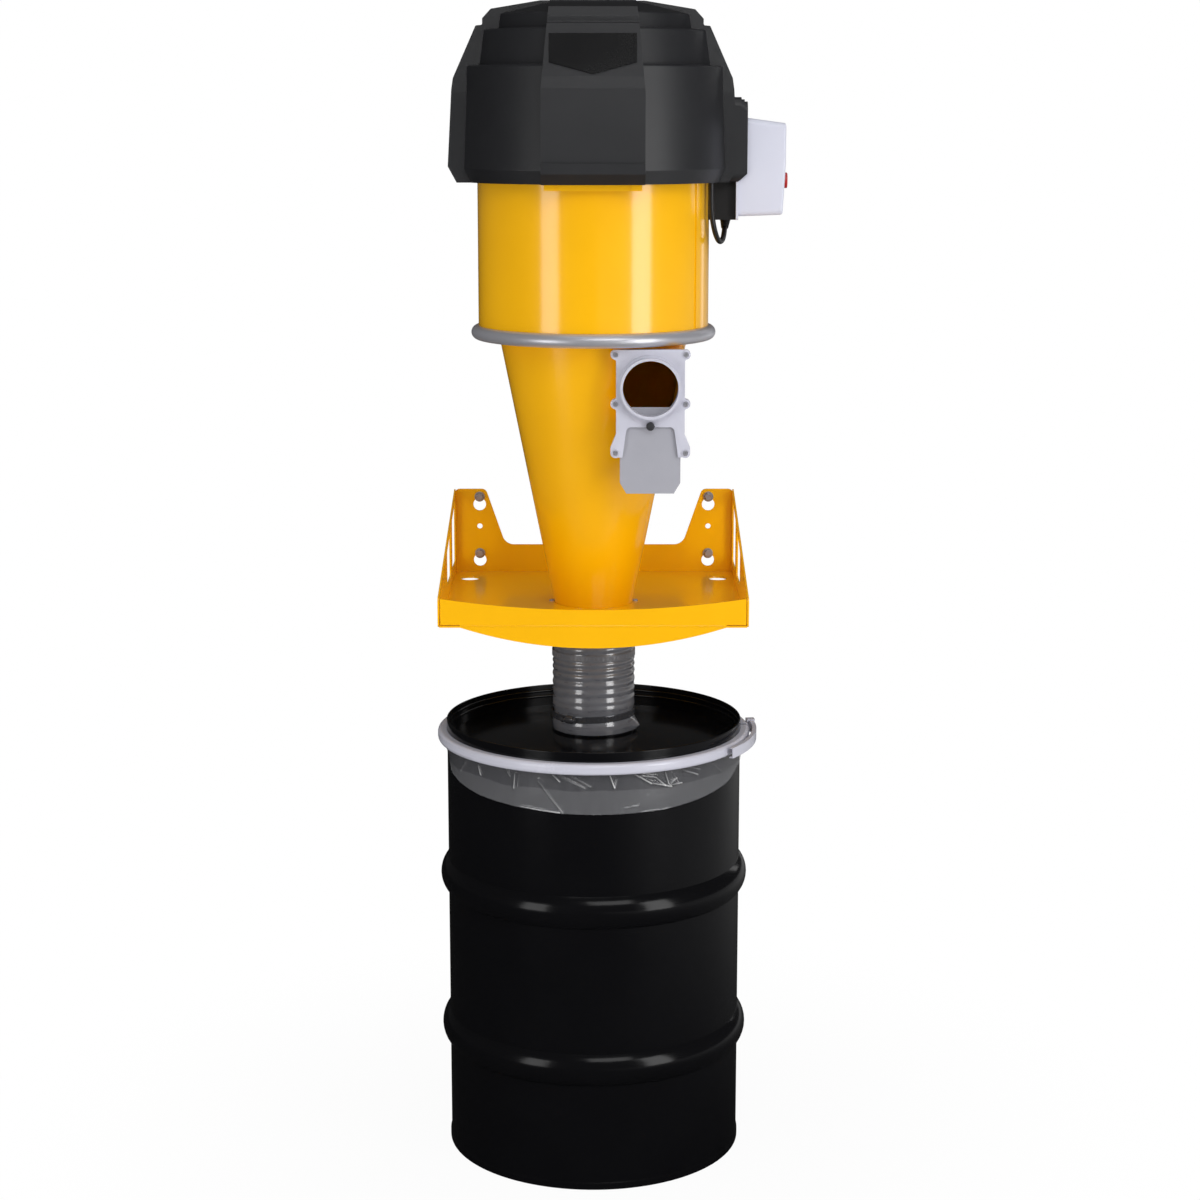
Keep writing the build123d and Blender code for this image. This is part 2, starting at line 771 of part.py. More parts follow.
# SLIDE GATE
# Two cast halves bolted at six ears guide a sliding blade across the inlet's bore.
gate_top_z = inlet_z + gate_bore_radius + gate_head
gate_foot_z = gate_top_z - gate_height
collar_radius = gate_bore_radius + collar_wall
collar_base_radius = collar_radius + collar_base_reach
ear_offset = gate_width / 2 + ear_proud
ear_spacing = (gate_height - ear_radius - ear_foot) / 2
ear_top_z = gate_top_z - ear_radius
gate_left = inlet_offset - gate_width / 2
gate_right = inlet_offset + gate_width / 2
ear_places = [
    (inlet_offset + side * ear_offset, ear_top_z - row * ear_spacing)
    for side in (-1, 1)
    for row in range(3)
]
blade_width = gate_width - 2 * blade_inset
slot_thickness = blade_thickness + 2 * blade_gap
slot_width = blade_width + 2 * blade_gap
blade_foot_z = gate_foot_z - blade_hang
slot_top_z = blade_foot_z + blade_length + blade_close_travel + blade_gap
gate_split_y = -gate_from_wall + gate_front_thickness


fork_top_z = gate_foot_z + fork_depth
flare_z = fork_top_z - fork_flare_drop
leg_z = gate_foot_z + 2 * ear_radius
leg_reach = ear_offset + ear_radius
fork_top_width = gate_width - 2 * fork_leg_width
fork_foot_width = 2 * (leg_reach - fork_foot_leg_width)


def gate_outline(plane):
    """The gate's outline with ears and flared legs, joined to the sketch on a plane."""
    with BuildSketch(plane) as outline:
        with Locations((inlet_offset, (gate_foot_z + gate_top_z) / 2)):
            Rectangle(gate_width, gate_height)
        Polygon(
            (gate_left, flare_z),
            (gate_right, flare_z),
            (inlet_offset + leg_reach, leg_z),
            (inlet_offset + leg_reach, gate_foot_z + ear_radius),
            (inlet_offset - leg_reach, gate_foot_z + ear_radius),
            (inlet_offset - leg_reach, leg_z),
            align=None,
        )
        with Locations(*ear_places):
            Circle(ear_radius)
        blends = outline.vertices().filter_by(
            lambda v: v.Y > flare_z and abs(abs(v.X - inlet_offset) - gate_width / 2) < fit_gap
        )
        fillet(blends.filter_by(lambda v: v.Y < gate_top_z - ear_radius), radius=ear_blend_radius)
        with Locations((inlet_offset, inlet_z)):
            Circle(gate_bore_radius, mode=Mode.SUBTRACT)
    return outline.sketch


with BuildPart() as gate_body:
    with BuildSketch(Plane.XZ.offset(-gate_split_y)):
        add(gate_outline(Plane.XZ))
    extrude(amount=gate_front_thickness)
    with BuildSketch(Plane.XZ.offset(gate_from_wall)):
        with Locations((inlet_offset, inlet_z)):
            Circle(collar_base_radius)
            Circle(gate_bore_radius, mode=Mode.SUBTRACT)
    extrude(amount=collar_base_length)
    with BuildSketch(Plane.XZ.offset(gate_from_wall)):
        with Locations((inlet_offset, inlet_z)):
            Circle(collar_radius)
            Circle(gate_bore_radius, mode=Mode.SUBTRACT)
    extrude(amount=collar_length)
    with BuildSketch(Plane.XZ.offset(-gate_split_y)) as fork_cut:
        Polygon(
            (inlet_offset - fork_top_width / 2, fork_top_z),
            (inlet_offset + fork_top_width / 2, fork_top_z),
            (inlet_offset + fork_foot_width / 2, gate_foot_z - ear_radius),
            (inlet_offset - fork_foot_width / 2, gate_foot_z - ear_radius),
            align=None,
        )
        fillet(fork_cut.vertices().group_by(Axis.Y)[-1], radius=fork_radius)
    extrude(amount=gate_front_thickness, mode=Mode.SUBTRACT)

with BuildPart() as gate_back_plate:
    with BuildSketch(Plane.XZ.offset(-gate_split_y)):
        add(gate_outline(Plane.XZ))
    extrude(amount=-gate_back_thickness)
    slot_foot_z = gate_foot_z - ear_radius
    with BuildSketch(Plane.XZ.offset(-gate_split_y)):
        with Locations((inlet_offset, (slot_foot_z + slot_top_z) / 2)):
            Rectangle(slot_width, slot_top_z - slot_foot_z)
    extrude(amount=-slot_thickness, mode=Mode.SUBTRACT)

with BuildPart() as gate_blade:
    with BuildSketch(Plane.XZ.offset(-gate_split_y - blade_gap)):
        Polygon(
            (inlet_offset - blade_width / 2 + blade_chamfer, blade_foot_z),
            (inlet_offset + blade_width / 2 - blade_chamfer, blade_foot_z),
            (inlet_offset + blade_width / 2, blade_foot_z + blade_chamfer_rise),
            (inlet_offset + blade_width / 2, blade_foot_z + blade_length),
            (inlet_offset - blade_width / 2, blade_foot_z + blade_length),
            (inlet_offset - blade_width / 2, blade_foot_z + blade_chamfer_rise),
            align=None,
        )
    extrude(amount=-blade_thickness)

with BuildPart() as gate_knob:
    with BuildSketch(Plane.XZ.offset(gate_from_wall + knob_gap)):
        with Locations((inlet_offset, fork_top_z + knob_radius / 4)):
            Circle(knob_radius)
    extrude(amount=knob_length)
    chamfer(gate_knob.faces().sort_by(Axis.Y)[0].edges(), length=knob_radius / 8)

with BuildPart() as gate_screws:
    with BuildSketch(Plane.XZ.offset(gate_from_wall)):
        with Locations(*ear_places):
            Circle(screw_head_radius)
    extrude(amount=screw_head_height)

# DRUM
# The drum's wall has two rolled hoops, a chime at the foot and a curl at the rim.
hoop_places_share = (0.286, 0.657)


def drum_side(inset):
    """The drum's outline, filled to the axis, inset for its inside."""
    wall_r = drum_radius - inset
    with BuildSketch(turning_plane) as outline:
        with BuildLine():
            Line((0, floor_z), (wall_r + chime_swell, floor_z))
            Line((wall_r + chime_swell, floor_z), (wall_r + chime_swell, floor_z + chime_height))
            Line((wall_r + chime_swell, floor_z + chime_height), (wall_r, floor_z + chime_height + chime_swell))
            last_z = floor_z + chime_height + chime_swell
            for share in hoop_places_share:
                hoop_z = floor_z + drum_height * share
                foot_z = hoop_z - hoop_height / 2
                head_z = hoop_z + hoop_height / 2
                Line((wall_r, last_z), (wall_r, foot_z))
                ThreePointArc((wall_r, foot_z), (wall_r + hoop_swell, hoop_z), (wall_r, head_z))
                last_z = head_z
            Line((wall_r, last_z), (wall_r, drum_rim_z))
            Line((wall_r, drum_rim_z), (0, drum_rim_z))
            Line((0, drum_rim_z), (0, floor_z))
        make_face()
    return outline.sketch


curl_z = drum_rim_z - curl_radius
with BuildPart() as drum_body:
    with BuildSketch(turning_plane):
        add(drum_side(0))
        add(drum_side(drum_wall), mode=Mode.SUBTRACT)
        with Locations((drum_radius - drum_wall + curl_radius, curl_z)):
            Circle(curl_radius)
    revolve(axis=centre_line)

drum_floor_z = floor_z + drum_floor_height
bottom_radius = drum_radius - drum_wall + chime_swell
with BuildPart() as drum_bottom:
    with BuildSketch(turning_plane):
        Polygon(
            (0, drum_floor_z),
            (drum_radius - drum_wall, drum_floor_z),
            (drum_radius - drum_wall, floor_z + chime_height + chime_swell),
            (bottom_radius, floor_z + chime_height),
            (bottom_radius, floor_z),
            (bottom_radius - chime_swell, floor_z),
            (bottom_radius - 2 * chime_swell, drum_floor_z - drum_wall),
            (0, drum_floor_z - drum_wall),
            align=None,
        )
    revolve(axis=centre_line)

# LID
# The lid hooks over the drum's curl, folds up into a ridge inside the ring and drops to a
# gently crowned floor. Two beads run round its inner wall.
lid_bead_share = 0.14
lid_bead_place_share = (0.56, 0.3)
lid_wall_radius = drum_radius - drum_wall - fit_gap
lid_inside_radius = lid_wall_radius - lid_thickness
ridge_radius = ring_radius - ring_top_reach - fit_gap
ridge_top_z = lid_top_z + lid_ridge_height
ridge_round = (ridge_radius - lid_inside_radius) / 2
ridge_mid_radius = lid_inside_radius + ridge_round
ridge_height = ridge_top_z - lid_floor_z
collar_inner = hub_radius - collar_tube_wall
bead_half_height = ridge_height * lid_bead_share / 2
with BuildPart() as drum_lid:
    with BuildSketch(turning_plane):
        with BuildLine():
            Polyline(
                (ridge_radius, ridge_top_z - ridge_round),
                (ridge_radius, lid_top_z),
                (lid_edge_radius, lid_top_z),
                (lid_edge_radius, drum_rim_z),
                (lid_wall_radius, drum_rim_z),
                (lid_wall_radius, lid_floor_z - lid_thickness),
                (collar_inner, lid_hub_z - lid_thickness),
                (collar_inner, lid_hub_z),
                (lid_inside_radius, lid_floor_z),
            )
            last_z = lid_floor_z
            for share in lid_bead_place_share:
                bead_z = ridge_top_z - ridge_height * share
                bead_foot = (lid_inside_radius, bead_z - bead_half_height)
                bead_head = (lid_inside_radius, bead_z + bead_half_height)
                Line((lid_inside_radius, last_z), bead_foot)
                ThreePointArc(bead_foot, (lid_inside_radius - lid_bead_depth, bead_z), bead_head)
                last_z = bead_z + bead_half_height
            Line((lid_inside_radius, last_z), (lid_inside_radius, ridge_top_z - ridge_round))
            ThreePointArc(
                (lid_inside_radius, ridge_top_z - ridge_round),
                (ridge_mid_radius, ridge_top_z),
                (ridge_radius, ridge_top_z - ridge_round),
            )
        make_face()
    revolve(axis=centre_line)

# A flanged collar on the lid takes the hose.
collar_top_z = lid_hub_z + collar_tube_height
with BuildPart() as lid_collar:
    with BuildSketch(turning_plane):
        Polygon(
            (collar_inner, lid_hub_z),
            (collar_foot_radius, lid_hub_z),
            (collar_foot_radius, lid_hub_z + flange_thickness),
            (hub_radius, lid_hub_z + flange_thickness),
            (hub_radius, collar_top_z),
            (collar_inner, collar_top_z),
            align=None,
        )
    revolve(axis=centre_line)

# CLOSING RING
# The ring is a channel round the lid's edge and the drum's curl, split under the lever.
ring_top_z = lid_top_z + ring_thickness
ring_foot_z = ring_top_z - ring_height
gap_turn = degrees((lug_width + ring_gap) / ring_radius)
with BuildPart() as closing_ring:
    with BuildSketch(turning_plane) as ring_section:
        Polygon(
            (ring_radius - ring_top_reach, ring_top_z),
            (ring_radius, ring_top_z),
            (ring_radius, ring_foot_z),
            (ring_radius - ring_foot_reach, ring_foot_z),
            (ring_radius - ring_foot_reach, ring_foot_z + ring_thickness),
            (ring_radius - 2 * ring_thickness, ring_foot_z + 2 * ring_thickness),
            (ring_radius - 2 * ring_thickness, lid_top_z),
            (ring_radius - ring_top_reach, lid_top_z),
            align=None,
        )
        fillet(ring_section.vertices().group_by(Axis.X)[-1], radius=ring_corner_radius)
    revolve(axis=centre_line)
    with BuildSketch(plan_at(ring_foot_z)):
        with Locations(Location((0, 0, 0), (0, 0, lever_angle - gap_turn))):
            with Locations((ring_radius, 0)):
                Rectangle(3 * ring_top_reach, ring_gap)
    extrude(amount=ring_height, mode=Mode.SUBTRACT)

# The lever is a channel. It turns on a pin between two lugs of the ring and lies along the
# ring when closed.
ring_mid_z = (ring_top_z + ring_foot_z) / 2
lever_inner_radius = ring_radius + lever_gap
lever_outer_radius = lever_inner_radius + lever_thickness
lever_mid_radius = (lever_inner_radius + lever_outer_radius) / 2
lever_sweep = degrees(lever_length / lever_mid_radius)
pin_x = lever_mid_radius * cos(radians(lever_angle))
pin_y = lever_mid_radius * sin(radians(lever_angle))
lug_gap = lever_height + 2 * fit_gap
lug_reach = lever_mid_radius + 2 * lever_pin_radius - ring_radius

with BuildPart() as ring_lugs:
    with BuildSketch(plan_at(ring_mid_z - lug_gap / 2)):
        with Locations(Location((0, 0, 0), (0, 0, lever_angle))):
            with Locations((ring_radius + (lug_back_thickness - lug_thickness) / 2, 0)):
                Rectangle(lug_back_thickness + lug_thickness, lug_width)
        Circle(ring_radius, mode=Mode.SUBTRACT)
    extrude(amount=lug_gap)
    for lug_foot_z in (ring_mid_z + lug_gap / 2, ring_mid_z - lug_gap / 2 - lug_thickness):
        with BuildSketch(plan_at(lug_foot_z)):
            with Locations(Location((0, 0, 0), (0, 0, lever_angle))):
                with Locations((ring_radius + (lug_reach - lug_thickness) / 2, 0)):
                    Rectangle(lug_reach + lug_thickness, lug_width)
            Circle(ring_radius, mode=Mode.SUBTRACT)
            with Locations((pin_x, pin_y)):
                Circle(lever_pin_radius + pin_clearance, mode=Mode.SUBTRACT)
        extrude(amount=lug_thickness)

with BuildPart() as ring_lever:
    with BuildSketch(plan_at(ring_mid_z - lever_height / 2)):
        with BuildLine():
            outside = CenterArc((0, 0), lever_outer_radius, lever_angle - lever_sweep, lever_sweep)
            inside = CenterArc((0, 0), lever_inner_radius, lever_angle - lever_sweep, lever_sweep)
            Line(outside @ 0, inside @ 0)
            Line(outside @ 1, inside @ 1)
        make_face()
        with Locations((pin_x, pin_y)):
            Circle(lever_pin_radius + lever_thickness / 2)
    extrude(amount=lever_height)
    with BuildSketch(plan_at(ring_mid_z - lever_height / 2 + lever_wall)):
        with BuildLine():
            pocket_end = lever_angle - degrees(lever_height / lever_mid_radius)
            pocket_start = lever_angle - lever_sweep - degrees(lever_wall / lever_mid_radius)
            pocket_turn = pocket_end - pocket_start
            web = CenterArc((0, 0), lever_outer_radius - lever_wall, pocket_start, pocket_turn)
            mouth = CenterArc((0, 0), lever_inner_radius - lever_wall, pocket_start, pocket_turn)
            Line(web @ 0, mouth @ 0)
            Line(web @ 1, mouth @ 1)
        make_face()
    extrude(amount=lever_height - 2 * lever_wall, mode=Mode.SUBTRACT)
    with BuildSketch(plan_at(ring_mid_z)):
        with Locations((pin_x, pin_y)):
            Circle(lever_pin_radius)
    extrude(amount=lug_gap / 2 + lug_thickness, both=True)

# HOSE
# The ribbed hose slips over the cone's spigot and the lid's collar.
hose_inner = spigot_radius + fit_gap
rib_count = int((hose_top_z - hose_foot_z) / hose_pitch)
rib_pitch = (hose_top_z - hose_foot_z) / rib_count
rib_points = []
for rib in range(rib_count):
    rib_foot_z = hose_foot_z + rib * rib_pitch
    rib_points += [
        (hose_inner + hose_wall, rib_foot_z),
        (hose_inner + hose_wall + hose_rib, rib_foot_z + rib_pitch / 2),
    ]
with BuildPart() as hose:
    with BuildSketch(turning_plane):
        Polygon(
            (hose_inner, hose_foot_z),
            *rib_points,
            (hose_inner + hose_wall, hose_top_z),
            (hose_inner, hose_top_z),
            align=None,
        )
    revolve(axis=centre_line)

clamp_radius = hose_inner + hose_wall + hose_rib + fit_gap
clamp_turns = {"hose_clamp_top": 110.0, "hose_clamp_bottom": 236.0}
clamp_levels = {
    "hose_clamp_top": hose_top_z - clamp_drop,
    "hose_clamp_bottom": hose_foot_z + collar_tube_height / 2,
}
clamps = {}
for clamp_name, clamp_z in clamp_levels.items():
    with BuildPart() as clamp:
        with BuildSketch(plan_at(clamp_z - clamp_height / 2)):
            Circle(clamp_radius + clamp_thickness)
            Circle(clamp_radius, mode=Mode.SUBTRACT)
        extrude(amount=clamp_height)
        with BuildSketch(plan_at(clamp_z - clamp_housing_height / 2)):
            with Locations(Location((0, 0, 0), (0, 0, clamp_turns[clamp_name]))):
                with Locations((clamp_radius + clamp_housing_depth / 2, 0)):
                    Rectangle(clamp_housing_depth, clamp_housing_length)
            Circle(clamp_radius, mode=Mode.SUBTRACT)
        extrude(amount=clamp_housing_height)
    clamps[clamp_name] = clamp

# BAG CUFF
# The drum liner's edge hangs outside the drum from under the ring.
cuff_top_z = ring_foot_z - fit_gap
with BuildPart() as bag_cuff:
    with BuildSketch(plan_at(cuff_top_z - cuff_drop)):
        Circle(drum_radius + cuff_gap + cuff_thickness)
        Circle(drum_radius + cuff_gap, mode=Mode.SUBTRACT)
    extrude(amount=cuff_drop)

# CABLE AND GLAND
gland_end = Vector(*cable_points[0])
gland_way = (Vector(*cable_points[1]) - gland_end).normalized()
gland_start = gland_end - gland_way * gland_length
with BuildPart() as cable_gland:
    with BuildSketch(Plane(origin=gland_start, z_dir=gland_way)):
        RegularPolygon(gland_radius, 6)
    extrude(amount=gland_length)
    with BuildSketch(plan_at(arm_foot_z)):
        Rectangle(shelf_width, shelf_width)
    extrude(amount=gland_length, mode=Mode.SUBTRACT)


def cord_radii(points):
    """Radius of the bend at each inner point: as large as its two runs allow."""
    radii = []
    for before, here, after in zip(points, points[1:], points[2:]):
        run_in = Vector(*here) - Vector(*before)
        run_out = Vector(*after) - Vector(*here)
        half_turn = radians(run_in.get_angle(run_out)) / 2
        radii.append(0.45 * min(run_in.length, run_out.length) / tan(half_turn))
    return radii


cable_radii = cord_radii(cable_points)
print("cable bend radii:", [round(radius, 1) for radius in cable_radii])
with BuildPart() as cable:
    with BuildLine() as cable_route:
        FilletPolyline(*cable_points, radius=cable_radii)
    with BuildSketch(Plane(origin=cable_route.line @ 0, z_dir=cable_route.line % 0)):
        Circle(cable_diameter / 2)
    sweep(path=cable_route.line)
cable_length = sum(edge.length for edge in cable_route.edges())
cable_section = pi * cable_diameter**2 / 4
print("cable length:", round(cable_length, 1))
print("cable volume over section times length:", cable.part.volume / (cable_section * cable_length))

# Every piece is written under the name that it is known by.
pieces = {
    "bracket_back_plate": bracket_back_plate,
    "bracket_shelf": bracket_shelf,
    **sides,
    "bracket_front_lip": bracket_front_lip,
    "bracket_front_skirt": bracket_front_skirt,
    "cone": cone,
    "cone_spigot": cone_spigot,
    "cone_flange": cone_flange,
    "inlet_duct": inlet_duct,
    "barrel": barrel,
    "barrel_top_plate": barrel_top_plate,
    "barrel_seam": barrel_seam,
    "clamp_band": clamp_band,
    "clamp_band_bolt": clamp_band_bolt,
    "motor_hood": motor_hood,
    "hood_base_pan": hood_base_pan,
    "hood_badge_plate": hood_badge_plate,
    "hood_latch_bar": hood_latch_bar,
    "box_back_plate": box_back_plate,
    "electric_box": electric_box,
    "box_cover": box_cover,
    "red_button": red_button,
    "box_bracket": box_bracket,
    "cable_gland": cable_gland,
    "cable": cable,
    "gate_body": gate_body,
    "gate_back_plate": gate_back_plate,
    "gate_blade": gate_blade,
    "gate_knob": gate_knob,
    "gate_screws": gate_screws,
    "drum_body": drum_body,
    "drum_bottom": drum_bottom,
    "drum_lid": drum_lid,
    "lid_collar": lid_collar,
    "closing_ring": closing_ring,
    "ring_lugs": ring_lugs,
    "ring_lever": ring_lever,
    "hose": hose,
    **clamps,
    "bag_cuff": bag_cuff,
}
os.makedirs("parts", exist_ok=True)
for label, piece in pieces.items():
    piece.part.label = label
    export_step(piece.part, f"parts/{label}.step")
print("pieces written:", len(pieces))
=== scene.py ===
# %% [markdown]
# # A wall-hung cyclone dust separator, dressed for a studio photograph
#
# The machine's metal and moulded parts arrive as a finished CAD model. This lesson keeps them
# where they stand, gives each one its finish, and builds the things that CAD only blocks in:
# the ribbed hose, the worm-drive clamps, the loose film under the drum's ring, the cable, and
# the bolts and screws. Everything is in metres. The wall is the plane y = 0 and the machine's
# axis stands 0.32 m in front of it.

import json
from math import cos, exp, hypot, pi, radians, sin

import bpy
from mathutils import Matrix, Vector


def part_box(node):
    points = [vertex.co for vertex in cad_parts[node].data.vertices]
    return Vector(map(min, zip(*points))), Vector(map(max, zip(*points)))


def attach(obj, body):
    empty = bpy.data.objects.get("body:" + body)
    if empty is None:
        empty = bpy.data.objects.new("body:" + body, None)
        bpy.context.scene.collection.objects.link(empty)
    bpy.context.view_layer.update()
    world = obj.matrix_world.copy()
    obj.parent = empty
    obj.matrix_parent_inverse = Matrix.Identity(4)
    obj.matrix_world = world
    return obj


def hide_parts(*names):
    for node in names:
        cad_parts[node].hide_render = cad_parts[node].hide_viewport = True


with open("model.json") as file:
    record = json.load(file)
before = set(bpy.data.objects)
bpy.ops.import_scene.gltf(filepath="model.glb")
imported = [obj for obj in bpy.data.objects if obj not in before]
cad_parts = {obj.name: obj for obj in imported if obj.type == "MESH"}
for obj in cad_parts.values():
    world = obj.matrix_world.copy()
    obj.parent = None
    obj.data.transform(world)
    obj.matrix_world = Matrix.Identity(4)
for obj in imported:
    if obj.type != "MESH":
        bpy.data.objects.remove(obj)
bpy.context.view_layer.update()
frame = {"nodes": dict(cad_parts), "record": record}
nodes = frame["nodes"]
AXIS_Y = -0.320
FLOOR_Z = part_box("drum_bottom")[0].z
print("nodes:", len(nodes), "floor at", round(FLOOR_Z, 4))

# %% [markdown]
# ## The camera
#
# The photograph was taken from a little above the drum, about five metres away, with a lens
# near 74 mm. A camera that looks down by 11 degrees keeps the drum's ellipses as open as they
# are there. Everything that follows is judged through it, so it comes first.

# %% Set up the camera
LENS_MM = 73.7
SENSOR_MM = 36.0
CAMERA_PLACE = (0.0125, -5.006, 0.8875)
LOOK_DOWN_DEGREES = 11.15

camera_data = bpy.data.cameras.new("camera")
camera_data.lens = LENS_MM
camera_data.sensor_width = SENSOR_MM
camera = bpy.data.objects.new("camera", camera_data)
camera.location = CAMERA_PLACE
camera.rotation_euler = (radians(90 - LOOK_DOWN_DEGREES), 0, 0)
bpy.context.scene.collection.objects.link(camera)
bpy.context.scene.camera = camera
bpy.context.scene.view_settings.view_transform = "Standard"
print("camera at", tuple(round(c, 3) for c in camera.location))

# %% [markdown]
# ## The cable
#
# A short black cable leaves the gland under the switch box, hangs in a tight loop and goes up
# into the motor's pan. A curve with a round bevel keeps one even thickness along any route,
# which a chain of cylinders can't. Its control points pull the curve without lying on it, so
# the bends come out soft.

# %% Hang the cable
CABLE_POINTS = [
    (0.2480, -0.314, 0.6800),
    (0.2460, -0.330, 0.6630),
    (0.2380, -0.359, 0.6535),
    (0.2285, -0.386, 0.6670),
    (0.2210, -0.399, 0.6970),
    (0.2185, -0.394, 0.7320),
    (0.2185, -0.394, 0.7665),
]
CABLE_DIAMETER = 0.010

cable_curve = bpy.data.curves.new("cable_loop", "CURVE")
cable_curve.dimensions = "3D"
cable_curve.bevel_depth = CABLE_DIAMETER / 2
cable_curve.bevel_resolution = 6
cable_curve.resolution_u = 16
cable_spline = cable_curve.splines.new("NURBS")
cable_spline.points.add(len(CABLE_POINTS) - 1)
for point, place in zip(cable_spline.points, CABLE_POINTS):
    point.co = (*place, 1)
cable_spline.order_u = 3
cable_spline.use_endpoint_u = True
cable_loop = bpy.data.objects.new("cable_loop", cable_curve)
bpy.context.scene.collection.objects.link(cable_loop)
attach(cable_loop, "root")
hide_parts("cable")
print("cable points:", len(CABLE_POINTS))

# %% [markdown]
# ## A small language for finishes
#
# A finish is a little sum: a base colour, a bit of noise, a mask where something changes. Node
# trees make such sums hard to read, so a socket is wrapped in a class whose arithmetic adds the
# Math nodes. Everything else, such as a noise or a blend, comes from one method.

# %% Wrap a socket
class Signal:
    """A shader value. Arithmetic on it adds Math nodes to its material."""

    def __init__(self, tree, socket=None):
        self.tree = tree
        self.socket = socket

    def make(self, kind, settings=None, inputs=None, output=0):
        """Adds a node: its settings first, then the values or links of its sockets."""
        node = self.tree.nodes.new(kind)
        for name, value in (settings or {}).items():
            setattr(node, name, value)
        self.feed(node, inputs or {})
        return Signal(self.tree, node.outputs[output])

    def feed(self, node, inputs):
        """Gives a node's sockets their values or links."""
        for name, value in inputs.items():
            if isinstance(value, Signal):
                self.tree.links.new(value.socket, node.inputs[name])
            else:
                node.inputs[name].default_value = value

    def math(self, operation, first, second=0.0):
        """A Math node on signals or plain numbers."""
        return self.make("ShaderNodeMath", {"operation": operation}, {0: first, 1: second})

    def __add__(self, other):
        return self.math("ADD", self, other)

    __radd__ = __add__

    def __sub__(self, other):
        return self.math("SUBTRACT", self, other)

    def __rsub__(self, other):
        return self.math("SUBTRACT", other, self)

    def __mul__(self, other):
        return self.math("MULTIPLY", self, other)

    __rmul__ = __mul__


print("socket class ready")

# %% [markdown]
# ## Tools that every finish shares
#
# Each finish starts from the same shader and looks up its noise by the place on the machine, so
# that a drift of colour runs on from one piece to the next. The blend takes plain colours or
# colours that were blended before.

# %% Finish tools
COLOUR_A, COLOUR_B, COLOUR_OUT = 6, 7, 2  # the Mix node's colour sockets, which share their names


def start_finish(name, constants=None):
    """A new material, the signal that adds to it, and its shader with constants set."""
    material = bpy.data.materials.new(name)
    material.use_nodes = True
    shader = material.node_tree.nodes["Principled BSDF"]
    for socket, value in (constants or {}).items():
        shader.inputs[socket].default_value = value
    return material, Signal(material.node_tree), shader


def place_on(paint):
    """Position on the machine in metres, the same for every piece."""
    return paint.make("ShaderNodeTexCoord", output="Object")


def noise(paint, where, scale, detail, roughness=0.5):
    """Noise between 0 and 1 with features about 1 / scale metres across."""
    inputs = {"Vector": where, "Scale": scale, "Detail": detail, "Roughness": roughness}
    return paint.make("ShaderNodeTexNoise", inputs=inputs)


def swing(value, width):
    """A noise moved to swing about zero, over a width."""
    return width * (value - 0.5)


def blend_colours(paint, mask, low, high):
    """A colour that goes from low to high as the mask goes from 0 to 1."""
    low, high = (end if isinstance(end, Signal) else (*end, 1.0) for end in (low, high))
    inputs = {"Factor": mask, COLOUR_A: low, COLOUR_B: high}
    return paint.make("ShaderNodeMix", {"data_type": "RGBA"}, inputs, output=COLOUR_OUT)


def bump(paint, height, depth):
    """A normal bent by a height between 0 and 1, as deep as a distance in metres."""
    return paint.make("ShaderNodeBump", inputs={"Height": height, "Distance": depth}, output="Normal")


print("finish tools ready")

# %% [markdown]
# ## Painted and moulded finishes
#
# Powder coat is a thick satin film with a faint orange peel. Moulded plastic is dull with a fine
# grain. Enamel on the drum is almost a mirror, but rolled steel under it is never quite flat. The
# colours stay nearly even; what sells each one is its roughness and the size of its bumps. They
# differ only in numbers, so one function mixes them all from a table.

# %% Painted and moulded finishes
DRIFT_SCALE = 9.0
GLOSS_DRIFT = 0.08
GLOSS_GRAIN = 0.04


def mottled(name, dark, light, rough, grain_scale, grain_depth, constants=None):
    """An even finish: slow colour drift, a little change in gloss, and a fine peel or grain."""
    material, paint, shader = start_finish(name, constants)
    where = place_on(paint)
    drift = noise(paint, where, DRIFT_SCALE, detail=4.0)
    grain = noise(paint, where, grain_scale, detail=2.0)
    paint.feed(
        shader,
        {
            "Base Color": blend_colours(paint, drift, dark, light),
            "Roughness": rough + swing(drift, GLOSS_DRIFT) + swing(grain, GLOSS_GRAIN),
            "Normal": bump(paint, grain, grain_depth),
        },
    )
    return material


